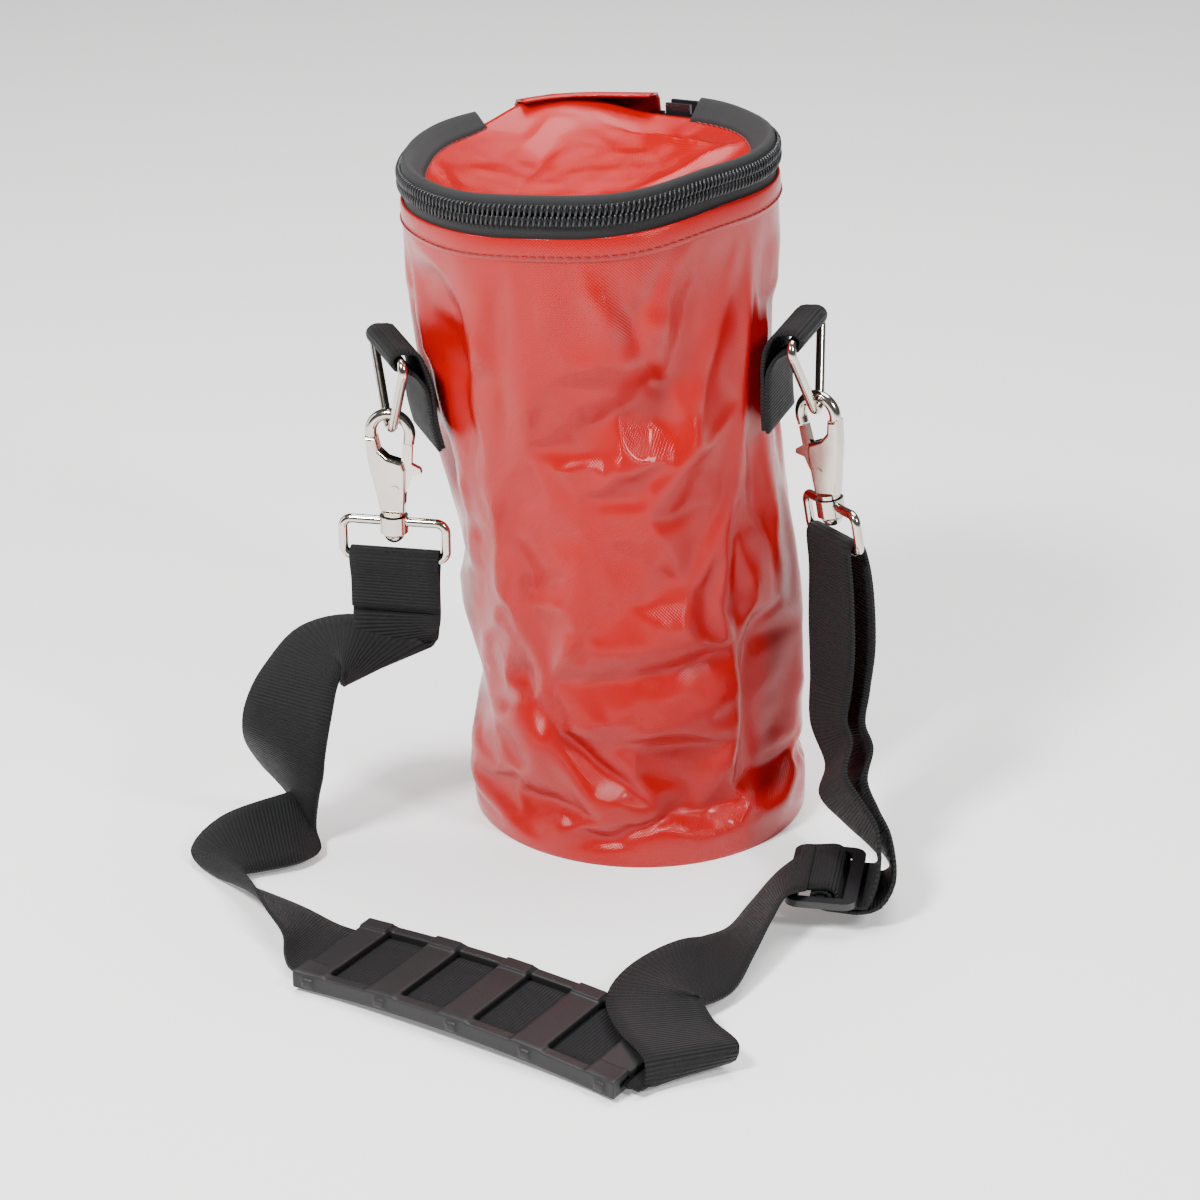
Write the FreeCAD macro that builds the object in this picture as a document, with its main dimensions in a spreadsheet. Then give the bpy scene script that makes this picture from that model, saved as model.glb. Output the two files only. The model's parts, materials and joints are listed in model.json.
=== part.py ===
import FreeCAD, Part
import math
import os
from FreeCAD import Placement, Rotation, Vector

# Rope storage bag: a slack round-bottomed cylinder of coated fabric with a zipped round lid,
# two webbing tabs with rings, two swivel snap hooks and a shoulder strap with a sliding pad.
# Millimetres. The origin is the centre of the base on the ground, +Z up, -Y towards the strap.

doc = FreeCAD.newDocument("RopeBag")
sheet = doc.addObject("Spreadsheet::Sheet", "Sizes")

SIZES = (
    ("base_radius", 74.5, "outer radius of the wall at the base"),
    ("waist_radius", 75.5, "outer radius of the wall between base and mouth"),
    ("rim_radius", 77.9, "outer radius of the wall at the mouth"),
    ("wall_thick", 1.0, "coated fabric, wall and lid"),
    ("waist_height", 95.0, "height of the lower bend of the slack wall"),
    ("shoulder_height", 190.0, "height of the upper bend of the slack wall"),
    ("shoulder_x", -17.0, "sideways lean at the upper bend"),
    ("shoulder_y", -5.0, "forward lean at the upper bend"),
    ("rim_x", -22.0, "sideways lean at the mouth"),
    ("rim_y", -8.0, "forward lean at the mouth"),
    ("rim_height", 284.0, "height of the hem's top edge on the axis"),
    ("rim_tilt", 3.5, "tilt of the mouth, right side up, degrees"),
    ("base_thick", 1.6, "base panel"),
    ("tape_radius", 76.6, "outer radius of the zip tapes"),
    ("tape_thick", 0.7, "zip tape"),
    ("coil_radius", 79.0, "outer radius of the coils"),
    ("coil_height", 3.4, "height of one half of the coil"),
    ("coil_low", 5.2, "bottom of the lower coil above the hem"),
    ("chain_start", 130.0, "where the chain starts, degrees from +X"),
    ("chain_turn", 280.0, "how far round the chain runs, degrees"),
    ("split_low", 8.6, "top of the lower tape and coil"),
    ("split_high", 9.8, "bottom of the upper tape and coil"),
    ("flange_low", 13.6, "underside of the upper tape where it turns in"),
    ("flange_inner", 65.0, "inner radius of the turned-in tape"),
    ("lid_radius", 69.5, "radius of the lid panel"),
    ("lid_sag", 9.0, "how far the lid panel sags in the middle"),
    ("hinge_low", 0.1, "bottom of the hinge strip above the hem"),
    ("hinge_split", 9.0, "top of the hinge strip"),
    ("hinge_start", 68.0, "where the hinge strip starts, degrees from +X"),
    ("hinge_turn", 44.0, "how far round the hinge strip runs, degrees"),
    ("webbing_width", 38.0, "ribbed webbing"),
    ("webbing_thick", 1.6, "ribbed webbing"),
    ("ring_wire", 4.0, "delta ring wire"),
    ("ring_width", 50.4, "delta ring, across its corners before they are rounded"),
    ("ring_drop", 35.0, "delta ring, bar to point, wire centres"),
    ("hook_wire", 5.0, "hook's round nose"),
    ("hook_plate", 7.0, "hook's cast body"),
    ("gate_slot", 3.8, "slot between the hook's cheeks"),
    ("gate_thick", 3.0, "gate"),
    ("pin_radius", 1.58, "gate pin"),
    ("barrel_radius", 6.0, "swivel barrel"),
    ("stud_radius", 2.55, "swivel stud"),
    ("loop_wire", 4.0, "swivel loop wire"),
    ("loop_width", 44.4, "swivel loop, wire centre to wire centre"),
    ("loop_drop", 16.5, "swivel loop, bar to bar, wire centres"),
    ("pad_length", 152.0, "moulded shoulder pad"),
    ("pad_width", 50.0, "moulded shoulder pad"),
    ("pad_floor", 2.4, "moulded shoulder pad, sheet under the webbing"),
    ("pad_height", 8.6, "moulded shoulder pad, over the bridges"),
    ("bridge_width", 14.0, "moulded shoulder pad, each bridge along the webbing"),
    ("glide_length", 50.0, "strap adjuster, along its bars"),
    ("glide_width", 30.0, "strap adjuster, across its bars"),
    ("glide_thick", 3.0, "strap adjuster"),
)

for row, (alias, value, note) in enumerate(SIZES, start=1):
    sheet.set("A%d" % row, note)
    sheet.set("B%d" % row, str(value))
    sheet.setAlias("B%d" % row, alias)
doc.recompute()


def size(alias):
    """A driving dimension, as a plain number."""
    return float(sheet.get(alias))


SUB_PARTS = []


def keep(obj, label):
    """Names a finished sub-part, which is also the name of its file."""
    obj.Label = label
    SUB_PARTS.append(obj)
    return obj


def bind(obj, **expressions):
    """Ties properties to cells; a double underscore in a name stands for a dot."""
    for name, expression in expressions.items():
        obj.setExpression(name.replace("__", "."), expression)


# ---------------------------------------------------------------- frames of reference

UP = Vector(0, 0, 1)
RIM = Placement(
    Vector(size("rim_x"), size("rim_y"), size("rim_height")),
    Rotation(Vector(0, 1, 0), -size("rim_tilt")),
)
# How far forward of the bag's sides the tabs are sewn, degrees.
TAB_TURN = 19.0


class Side:
    """Where one chain of tab, ring, hook and swivel loop hangs, and how it is turned."""

    def __init__(self, name, bar, turn, lean, hook_turn, loop_turn):
        self.name = name
        self.bar = bar
        self.outward = Rotation(UP, turn).multVec(Vector(1, 0, 0))
        along_bar = Rotation(UP, turn).multVec(Vector(0, 1, 0))
        swing = Rotation(along_bar, -lean)
        # Ring frame: origin on its bar, X outwards, Y along the bar, Z up.
        self.ring = Placement(bar, swing * Rotation(UP, turn))
        down = swing.multVec(-UP)
        self.apex = bar + down * size("ring_drop")
        # Hook frame: origin on the ring's wire, X across the hook, Y through it, Z up.
        self.hook = Placement(self.apex, swing * Rotation(UP, hook_turn))
        self.loop = Placement(self.apex, swing * Rotation(UP, loop_turn))
        self.loop_bar = self.loop.multVec(Vector(0, 0, LOOP_TOP - size("loop_drop")))


LOOP_TOP = -42.0
LEFT = Side("left", Vector(-105.0, -36.0, 222.0), 180 + TAB_TURN, 0.0, -10.0, -10.0)
RIGHT = Side("right", Vector(66.0, -35.5, 230.0), -TAB_TURN, 10.0, 145.0, -66.0)


# ---------------------------------------------------------------- wall and base


def circle_section(label, radius, x="0", y="0", z="0"):
    """A circle that a loft passes through, all its numbers tied to the sheet."""
    circle = doc.addObject("Part::Circle", label)
    bind(circle, Radius=radius)
    bind(circle, Placement__Base__x=x, Placement__Base__y=y, Placement__Base__z=z)
    return circle


def lofted_wall(label, inset, foot, overrun):
    """The slack wall's outer or inner surface, from the ground to the tilted mouth."""
    less = "" if inset == "" else " - Sizes." + inset
    sections = [
        circle_section(label + "Foot", "Sizes.base_radius" + less, z=foot),
        circle_section(label + "Waist", "Sizes.waist_radius" + less, z="Sizes.waist_height"),
        circle_section(
            label + "Shoulder",
            "Sizes.waist_radius" + less,
            "Sizes.shoulder_x",
            "Sizes.shoulder_y",
            "Sizes.shoulder_height",
        ),
    ]
    for step, offset in (("Neck", "-14"), ("Mouth", overrun)):
        circle = circle_section(
            label + step,
            "Sizes.rim_radius" + less,
            "Sizes.rim_x - sin(Sizes.rim_tilt) * (%s)" % offset,
            "Sizes.rim_y",
            "Sizes.rim_height + cos(Sizes.rim_tilt) * (%s)" % offset,
        )
        circle.Placement.Rotation = Rotation(Vector(0, 1, 0), -size("rim_tilt"))
        sections.append(circle)
    loft = doc.addObject("Part::Loft", label)
    loft.Sections = sections
    loft.Solid = True
    loft.Ruled = True
    return loft


wall = doc.addObject("Part::Cut", "BagWall")
wall.Base = lofted_wall("WallOutside", "", "0", "0")
wall.Tool = lofted_wall("WallInside", "wall_thick", "-1", "1")
keep(wall, "bag_wall")

base = doc.addObject("Part::Cylinder", "BasePanel")
bind(base, Radius="Sizes.base_radius - Sizes.wall_thick - 0.2", Height="Sizes.base_thick")
keep(base, "base_panel")


# ---------------------------------------------------------------- zip and lid


def to_rim(obj):
    """Moves a piece that was built round the mouth's axis to the leaning mouth."""
    obj.Placement = RIM
    bind(
        obj,
        Placement__Base__x="Sizes.rim_x",
        Placement__Base__y="Sizes.rim_y",
        Placement__Base__z="Sizes.rim_height",
    )
    return obj


def disc(label, radius, low, height, start="0", turn="360"):
    """A cylinder or a sector of one on the mouth's axis."""
    cylinder = doc.addObject("Part::Cylinder", label)
    bind(cylinder, Radius=radius, Height=height, Placement__Base__z=low)
    if turn != "360":
        bind(cylinder, Angle=turn, Placement__Rotation__Angle=start)
    return cylinder


def band(label, outer, inner, low, height, start="0", turn="360"):
    """An upright band round the mouth's axis."""
    cut = doc.addObject("Part::Cut", label)
    cut.Base = disc(label + "Solid", outer, low, height, start, turn)
    cut.Tool = disc(label + "Hollow", inner, "%s - 1" % low, "%s + 2" % height)
    return cut


CHAIN = ("Sizes.chain_start", "Sizes.chain_turn")
HINGE = ("Sizes.hinge_start", "Sizes.hinge_turn")
TAPE_IN = "Sizes.tape_radius - Sizes.tape_thick"

lower_tape = band("LowerTape", "Sizes.tape_radius", TAPE_IN, "-9", "Sizes.split_low + 9")
keep(to_rim(lower_tape), "zip_tape_lower")

COIL = ("Sizes.coil_radius", "Sizes.tape_radius + 0.1")
lower_coil = band("LowerCoil", *COIL, "Sizes.coil_low", "Sizes.coil_height", *CHAIN)
keep(to_rim(lower_coil), "zip_coil_lower")
upper_coil = band("UpperCoil", *COIL, "Sizes.split_high", "Sizes.coil_height", *CHAIN)
keep(to_rim(upper_coil), "zip_coil_upper")

upper_tape = doc.addObject("Part::MultiFuse", "UpperTape")
upper_tape.Shapes = [
    band(
        "UpperTapeUpright",
        "Sizes.tape_radius",
        TAPE_IN,
        "Sizes.split_high",
        "Sizes.flange_low - Sizes.split_high + Sizes.tape_thick",
        *CHAIN,
    ),
    band(
        "UpperTapeFlange",
        "Sizes.tape_radius",
        "Sizes.flange_inner",
        "Sizes.flange_low",
        "Sizes.tape_thick",
        *CHAIN,
    ),
]
keep(to_rim(upper_tape), "zip_tape_upper")

hinge_strip = band(
    "HingeStrip",
    "Sizes.rim_radius",
    "Sizes.rim_radius - Sizes.wall_thick",
    "Sizes.hinge_low",
    "Sizes.hinge_split - Sizes.hinge_low",
    *HINGE,
)
keep(to_rim(hinge_strip), "lid_hinge_strip")


def lid_profile():
    """Half section of the lid panel: a flat stitched edge round a shallow sagging dish."""
    top = size("flange_low") + size("tape_thick") + 0.1
    edge, sag = size("lid_radius"), size("lid_sag")
    dish = size("flange_inner") - 1.5
    lift = size("wall_thick")
    mid = Vector(dish * 0.55, 0, top - sag * 0.72)
    lower = Part.Arc(Vector(0, 0, top - sag), mid, Vector(dish, 0, top))
    upper = Part.Arc(Vector(0, 0, top - sag + lift), mid + UP * lift, Vector(dish, 0, top + lift))
    corners = [Vector(dish, 0, top), Vector(edge, 0, top)]
    corners += [Vector(edge, 0, top + lift), Vector(dish, 0, top + lift)]
    rim_edges = [Part.makeLine(corners[i], corners[i + 1]) for i in range(3)]
    axis_edge = Part.makeLine(Vector(0, 0, top - sag + lift), Vector(0, 0, top - sag))
    return Part.Wire([lower.toShape()] + rim_edges + [upper.toShape(), axis_edge])


dish = Part.Face(lid_profile()).revolve(Vector(0, 0, 0), UP, 360)
lid_dish = doc.addObject("Part::Feature", "LidDish")
lid_dish.Shape = dish
LID_TOP = "Sizes.flange_low + Sizes.tape_thick + 0.1"
lid_panel = doc.addObject("Part::MultiFuse", "LidPanel")
lid_panel.Shapes = [
    lid_dish,
    band(
        "LidTongue",
        "Sizes.rim_radius",
        "Sizes.flange_inner + 1",
        LID_TOP,
        "Sizes.wall_thick",
        *HINGE,
    ),
    band(
        "LidFlap",
        "Sizes.rim_radius",
        "Sizes.rim_radius - Sizes.wall_thick",
        "Sizes.hinge_split + 0.6",
        "Sizes.flange_low + Sizes.tape_thick + Sizes.wall_thick - 0.5 - Sizes.hinge_split",
        *HINGE,
    ),
]
keep(to_rim(lid_panel), "lid_panel")


def zip_stop(label, angle):
    """A small metal clip on the lower tape where the chain ends."""
    clip = doc.addObject("Part::Cut", label)
    body = doc.addObject("Part::Box", label + "Body")
    bind(body, Length="1.6", Width="2.4", Height="4")
    body.Placement = Placement(Vector(75.4, -1.2, 5.0), Rotation())
    slot = band(
        label + "Slot",
        "Sizes.tape_radius + 0.02",
        "Sizes.tape_radius - Sizes.tape_thick - 0.02",
        "0",
        "Sizes.split_low + 0.02",
    )
    clip.Base = body
    clip.Tool = slot
    clip.Placement = Placement(RIM.Base, RIM.Rotation * Rotation(UP, angle))
    bind(
        clip,
        Placement__Base__x="Sizes.rim_x",
        Placement__Base__y="Sizes.rim_y",
        Placement__Base__z="Sizes.rim_height",
    )
    return clip


keep(zip_stop("StopStart", 65.8), "zip_stop_start")
keep(zip_stop("StopEnd", 114.2), "zip_stop_end")

PARK_ANGLE = 59.0
BAIL_X = 82.9


def box(label, corner, lengths, fillet=0.0):
    """A block, with its upright edges rounded when a radius is given."""
    block = doc.addObject("Part::Box", label)
    block.Length, block.Width, block.Height = lengths
    block.Placement.Base = Vector(*corner)
    if fillet == 0.0:
        return block
    doc.recompute()
    rounded = doc.addObject("Part::Fillet", label + "Rounded")
    rounded.Base = block
    upright = []
    for number, edge in enumerate(block.Shape.Edges, start=1):
        ends = edge.Vertexes
        if abs(ends[0].Z - ends[1].Z) > 0.5 * lengths[2]:
            upright.append((number, fillet, fillet))
    rounded.Edges = upright
    return rounded


def rod(label, radius, start, direction, length):
    """A round pin or bore from a start point along a direction."""
    cylinder = doc.addObject("Part::Cylinder", label)
    cylinder.Radius = radius
    cylinder.Height = length
    cylinder.Placement = Placement(Vector(*start), Rotation(UP, Vector(*direction)))
    return cylinder


# The slider: a plate outside the coils, a plate inside the tapes and the web that joins them
# through the gap between the two halves. Its bail carries the pull.
slider_body = doc.addObject("Part::MultiFuse", "SliderBody")
slider_body.Shapes = [
    box("SliderFront", (79.4, -6.5, 4.6), (1.6, 13.0, 8.6)),
    box("SliderBack", (73.6, -6.0, 4.6), (1.6, 12.0, 8.6)),
    box("SliderWeb", (74.5, -3.0, 8.9), (5.5, 6.0, 0.6)),
    box("SliderLugLow", (80.9, -4.8, 7.4), (3.0, 1.4, 3.0)),
    box("SliderLugHigh", (80.9, 3.4, 7.4), (3.0, 1.4, 3.0)),
    rod("SliderBail", 0.7, (BAIL_X, -4.0, 8.9), (0, 1, 0), 8.0),
]
PARK = Placement(RIM.Base, RIM.Rotation * Rotation(UP, PARK_ANGLE))
slider_body.Placement = PARK
keep(slider_body, "zip_slider")

pull = doc.addObject("Part::Cut", "PullBody")
pull_blank = doc.addObject("Part::MultiFuse", "PullBlank")
pull_blank.Shapes = [
    box("PullTongue", (BAIL_X - 0.7, -3.0, -20.0), (1.4, 6.0, 28.9)),
    rod("PullEye", 1.5, (BAIL_X, -3.0, 8.9), (0, 1, 0), 6.0),
]
pull_holes = doc.addObject("Part::MultiFuse", "PullHoles")
pull_holes.Shapes = [
    rod("PullBore", 0.78, (BAIL_X, -4.0, 8.9), (0, 1, 0), 8.0),
    rod("PullThumbHole", 1.6, (81.0, 0.0, -15.5), (1, 0, 0), 3.0),
]
pull.Base = pull_blank
pull.Tool = pull_holes
pull.Placement = PARK
keep(pull, "zip_pull")


# ---------------------------------------------------------------- webbing tabs and rings


TAB_LOW, TAB_HIGH = -41.0, 13.0
TAB_STANDOFF = 0.15


def wall_grown(standoff):
    """The upper wall's outside, filled and grown by a standoff."""
    neck = RIM.multVec(Vector(0, 0, -14))
    waist = Vector(0, 0, size("waist_height"))
    shoulder = Vector(size("shoulder_x"), size("shoulder_y"), size("shoulder_height"))
    sections = []
    for centre, turn, radius in (
        (waist, Rotation(), size("waist_radius")),
        (shoulder, Rotation(), size("waist_radius")),
        (neck, RIM.Rotation, size("rim_radius")),
    ):
        circle = Part.Wire(Part.makeCircle(radius + standoff))
        circle.Placement = Placement(centre, turn)
        sections.append(circle)
    return Part.makeLoft(sections, True, True)


def ring_tab(place):
    """Webbing sewn flat on the wall that loops out round the ring's bar and back."""
    width = size("webbing_width")
    half = width / 2
    thick = size("webbing_thick")
    inner = size("ring_wire") / 2 + 0.4
    outer = inner + thick
    to_wall = 24.0
    into_tab = place.inverse().toMatrix()
    wall_solid = wall_grown(TAB_STANDOFF).transformGeometry(into_tab)
    skin_solid = wall_grown(TAB_STANDOFF + thick).transformGeometry(into_tab)
    strip = Part.makeBox(to_wall + 4, width, TAB_HIGH - TAB_LOW, Vector(-to_wall, -half, TAB_LOW))
    loop = strip.common(skin_solid)
    loop = loop.fuse(Part.makeCylinder(outer, width, Vector(0, -half, 0), Vector(0, 1, 0)))
    for low in (inner, -outer):
        loop = loop.fuse(Part.makeBox(to_wall, width, thick, Vector(-to_wall, -half, low)))
    loop = loop.cut(Part.makeCylinder(inner, 60, Vector(0, -30, 0), Vector(0, 1, 0)))
    gap = Part.makeBox(to_wall, 60, 2 * inner, Vector(-to_wall, -30, -inner))
    return loop.cut(gap.cut(skin_solid)).cut(wall_solid).removeSplitter()


def rounded_path(corners, radii, closed=False):
    """A wire through corner points, each corner rounded with its own radius."""
    count = len(corners)
    edges = []
    joins = []
    for index, corner in enumerate(corners):
        radius = radii[index]
        if radius == 0 or (not closed and index in (0, count - 1)):
            joins.append((corner, corner))
            continue
        back = (corners[index - 1] - corner).normalize()
        ahead = (corners[(index + 1) % count] - corner).normalize()
        half_angle = back.getAngle(ahead) / 2
        reach = radius / math.tan(half_angle)
        middle = (back + ahead).normalize()
        centre = corner + middle * (radius / math.sin(half_angle))
        first, last = corner + back * reach, corner + ahead * reach
        edges.append((index, Part.Arc(first, centre - middle * radius, last).toShape()))
        joins.append((first, last))
    arcs = dict(edges)
    wire = []
    for index in range(count):
        if index in arcs:
            wire.append(arcs[index])
        if index < count - 1 or closed:
            start, end = joins[index][1], joins[(index + 1) % count][0]
            wire.append(Part.makeLine(start, end))
    return Part.Wire(wire)


def bent_wire(path, radius):
    """Round wire bent along a path."""
    start = path.Edges[0].valueAt(path.Edges[0].FirstParameter)
    heading = path.Edges[0].tangentAt(path.Edges[0].FirstParameter)
    profile = Part.Wire([Part.makeCircle(radius, start, heading)])
    return path.makePipeShell([profile], True, False)


def delta_ring():
    """A triangular ring standing in the plane of its bar, point down."""
    half = size("ring_width") / 2
    drop = size("ring_drop")
    # The sharp point of the triangle lies below the rounded one.
    sharp = drop + 6.0 * (1 / math.sin(math.atan2(half, drop + 5.0)) - 1)
    corners = [Vector(0, 0, 0), Vector(0, half, 0), Vector(0, 0, -sharp), Vector(0, -half, 0)]
    path = rounded_path(corners, [0, 4.0, 6.0, 4.0], closed=True)
    return bent_wire(path, size("ring_wire") / 2)


# ---------------------------------------------------------------- swivel snap hooks

GATE_PIVOT = Vector(1.9, 0, -26.7)
# Outlines in the hook's own plane, as pairs of X and Z from the ring's wire.
BODY_OUTLINE = (
    (-10.6, -4.0), (-9.4, -15.0), (-4.4, -37.4), (5.4, -37.4), (5.9, -30.0),
    (6.3, -18.0), (5.2, -14.6), (-1.0, -12.9), (-4.6, -9.6), (-5.8, -4.0),
)
GATE_OUTLINE = (
    (5.5, -6.4), (9.3, -7.4), (8.9, -15.6), (12.6, -17.4), (13.0, -19.4), (8.9, -20.8),
    (7.6, -25.0), (5.6, -29.6), (1.9, -30.2), (-0.9, -28.4), (-0.6, -24.6), (4.6, -15.0),
)


def slab(outline, thickness):
    """A plate cut to an outline in the X-Z plane, centred on it."""
    points = [Vector(x, -thickness / 2, z) for x, z in outline]
    face = Part.Face(Part.makePolygon(points + points[:1]))
    return face.extrude(Vector(0, thickness, 0))


def softened(solid, radius, keep_edge):
    """Rounds the edges that the test picks."""
    return solid.makeFillet(radius, [edge for edge in solid.Edges if keep_edge(edge)])


def is_rim(edge):
    """True for the long edges that run round a plate's two faces."""
    ends = [vertex.Point for vertex in edge.Vertexes]
    return len(ends) == 2 and abs(ends[0].y - ends[1].y) < 1e-6


def snap_hook():
    """Round nose, cast body with a slot for the gate, neck, stud and riveted head."""
    wire = size("hook_wire") / 2
    plate = size("hook_plate")
    nose_path = Part.Wire(
        [
            Part.makeLine(Vector(-6.6, 0, -20.0), Vector(-8.1, 0, -4.4)),
            Part.Arc(Vector(-8.1, 0, -4.4), Vector(0, 0, 6.0), Vector(7.9, 0, -4.4)).toShape(),
            Part.makeLine(Vector(7.9, 0, -4.4), Vector(7.4, 0, -9.0)),
        ]
    )
    nose = bent_wire(nose_path, wire)
    # The nose stops on a circle round the gate's pin, so the gate can sweep past it.
    sweep = Part.makeCylinder(21.4, 20, GATE_PIVOT - Vector(0, 10, 0), Vector(0, 1, 0))
    sweep = sweep.common(Part.makeBox(12, 20, 30, Vector(3.0, -10, -30)))
    body = softened(slab(BODY_OUTLINE, plate), 1.4, is_rim)
    slot = Part.makeBox(20, size("gate_slot"), 30, Vector(-3.6, -size("gate_slot") / 2, -33.5))
    body = body.cut(slot).fuse(nose.cut(sweep))
    neck = Part.makeCylinder(4.8, 1.6, Vector(0.5, 0, -38.8), UP)
    stud = Part.makeCylinder(size("stud_radius"), 11.2, Vector(0.5, 0, -48.2), UP)
    head = Part.makeSphere(4.6, Vector(0.5, 0, -46.9), UP, -90, 0, 360)
    head = head.common(Part.makeBox(12, 12, 3.0, Vector(-5.5, -6, -50.9)))
    hook = body.fuse([neck, stud, head])
    bore = Part.makeCylinder(1.6, 20, GATE_PIVOT - Vector(0, 10, 0), Vector(0, 1, 0))
    return hook.cut(bore).removeSplitter()


def gate():
    """The lever that closes the nose, with its thumb piece and a recess for the spring."""
    plate = slab(GATE_OUTLINE, size("gate_thick"))
    face = size("gate_thick") / 2
    bore = Part.makeCylinder(1.66, 10, GATE_PIVOT - Vector(0, 5, 0), Vector(0, 1, 0))
    recess_start = GATE_PIVOT + Vector(0, face - 1.3, 0)
    recess = Part.makeCylinder(2.9, 3, recess_start, Vector(0, 1, 0))
    return plate.cut(bore).cut(recess)


def gate_pin():
    """A riveted pin through both cheeks, its heads just proud of them."""
    half = size("hook_plate") / 2
    along = Vector(0, 1, 0)
    pin = Part.makeCylinder(size("pin_radius"), 2 * half, GATE_PIVOT - along * half, along)
    for sign in (1, -1):
        pin = pin.fuse(Part.makeCylinder(2.0, 0.4, GATE_PIVOT + along * half * sign, along * sign))
    return pin


def gate_spring():
    """The closed coil of the torsion spring, in the gate's recess round the pin."""
    start = GATE_PIVOT + Vector(0, size("gate_thick") / 2 - 1.0, 0)
    outer = Part.makeCylinder(2.6, 1.1, start, Vector(0, 1, 0))
    return outer.cut(Part.makeCylinder(1.75, 1.1, start, Vector(0, 1, 0)))


def swivel_loop():
    """A flat rectangular wire loop under the barrel that turns on the hook's stud."""
    half = size("loop_width") / 2
    low = LOOP_TOP - size("loop_drop")
    corners = [Vector(0, 0, LOOP_TOP), Vector(half, 0, LOOP_TOP), Vector(half, 0, low)]
    corners += [Vector(-half, 0, low), Vector(-half, 0, LOOP_TOP)]
    path = rounded_path(corners, [0, 4.0, 4.0, 4.0, 4.0], closed=True)
    loop = bent_wire(path, size("loop_wire") / 2)
    barrel = Part.makeCylinder(size("barrel_radius"), 7.4, Vector(0, 0, -46.6), UP)
    loop = loop.fuse(barrel)
    return loop.cut(Part.makeCylinder(2.62, 12, Vector(0, 0, -49), UP)).removeSplitter()


def feature(label, shape, placement):
    """A sub-part whose shape is worked out above, set in its place."""
    obj = doc.addObject("Part::Feature", label.title().replace("_", ""))
    obj.Shape = shape
    obj.Placement = placement
    return keep(obj, label)


STUD_OFFSET = Placement(Vector(0.5, 0, 0), Rotation())
for side in (LEFT, RIGHT):
    tab_place = Placement(side.bar, Rotation(Vector(1, 0, 0), side.outward))
    feature("ring_tab_" + side.name, ring_tab(tab_place), tab_place)
    feature("ring_" + side.name, delta_ring(), side.ring)
    feature("hook_" + side.name, snap_hook(), side.hook)
    feature("gate_" + side.name, gate(), side.hook)
    feature("gate_pin_" + side.name, gate_pin(), side.hook)
    feature("gate_spring_" + side.name, gate_spring(), side.hook)
    stud = side.hook.multVec(STUD_OFFSET.Base) - side.apex
    feature("swivel_loop_" + side.name, swivel_loop(), Placement(side.apex + stud, side.loop.Rotation))


# ---------------------------------------------------------------- webbing


def ribbon(stations):
    """A webbing ribbon through stations, each a centre and the half-width across it."""
    thick = size("webbing_thick") / 2
    rings = []
    count = len(stations)
    for index, (centre, across) in enumerate(stations):
        before = stations[max(index - 1, 0)][0]
        after = stations[min(index + 1, count - 1)][0]
        into = centre - before
        out_of = after - centre
        if into.Length > 0:
            into.normalize()
        if out_of.Length > 0:
            out_of.normalize()
        facing = across.cross(into + out_of).normalize()
        bend = into.getAngle(out_of) if into.Length > 0 and out_of.Length > 0 else 0.0
        lift = facing * (thick / max(math.cos(bend / 2), 0.5))
        rings.append(
            [
                centre - across - lift,
                centre + across - lift,
                centre + across + lift,
                centre - across + lift,
            ]
        )
    faces = []

    def triangle(a, b, c):
        faces.append(Part.Face(Part.makePolygon([a, b, c, a])))

    for ring in (rings[0], rings[-1]):
        triangle(ring[0], ring[1], ring[2])
        triangle(ring[0], ring[2], ring[3])
    for near, far in zip(rings, rings[1:]):
        for corner in range(4):
            after = (corner + 1) % 4
            triangle(near[corner], near[after], far[after])
            triangle(near[corner], far[after], far[corner])
    solid = Part.Solid(Part.makeShell(faces))
    if solid.Volume < 0:
        solid.reverse()
    return solid


def in_frame(place, profile, half):
    """Stations whose centres are X-Z pairs in a frame and whose width lies along its Y."""
    across = place.Rotation.multVec(Vector(0, half, 0))
    return [(place.multVec(Vector(x, 0, z)), across) for x, z in profile]


def turned_loop(side):
    """A frame on the swivel loop's lower bar: X away from the bag's middle, Y along the bar."""
    turn = Rotation(UP, 90)
    return Placement(side.loop_bar, side.loop.Rotation * turn)


HALF = size("webbing_width") / 2

# Left half: the sewn end round the left loop's bar, then one long ply that folds across,
# hangs to the ground, doubles back, runs through the pad and rises to the adjuster.
bar_frame = turned_loop(LEFT)
bar_frame.Base = bar_frame.Base + LEFT.hook.Rotation.multVec(STUD_OFFSET.Base)
SEWN_END = (
    (-1.1, -23.0), (-1.1, -10.0), (-3.5, 0.0), (-2.5, 2.5), (0.0, 3.5),
    (2.5, 2.5), (3.5, 0.0), (1.1, -10.0), (1.1, -25.0),
)
# Hand-laid route of the hanging and lying webbing: centre, then half-width vector.
FALL = (
    ((-105, -37, 93), (19, -1, 3)),
    ((-106, -39, 84), (18, 4, 5)),
    ((-109, -46, 83), (17, 7, 6)),
    ((-122, -44, 90), (5, 17, 7)),
    ((-136, -38, 87), (-11, 15, 3)),
    ((-145, -47, 79), (-16, 10, 0)),
    ((-150, -57, 67), (-18, 5, 3)),
    ((-153, -55, 50), (-18, 3, 7)),
    ((-153, -45, 29), (-14, 12, 3)),
    ((-150, -40, 13), (-9, 16, 4)),
    ((-143, -47, 10), (-5, 17, 6)),
    ((-149, -59, 12), (-4, 17, 8)),
    ((-175, -70, 9), (-7, 17, 4)),
    ((-181, -79, 8), (-12, 14, -3)),
    ((-172, -98, 8), (-10, 15, -6)),
    ((-157, -116, 8), (-3, 18, -6)),
    ((-144, -130, 6), (2, 18, -4)),
    ((-137, -141, 4), (8, 17, -2)),
)
PAD_PLACE = Placement(Vector(-62.0, -194.0, 0.0), Rotation(UP, -32.9))
PAD_RUN = tuple((x, 4.0) for x in (-83.0, -45.0, 0.0, 45.0, 81.0))
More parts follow.
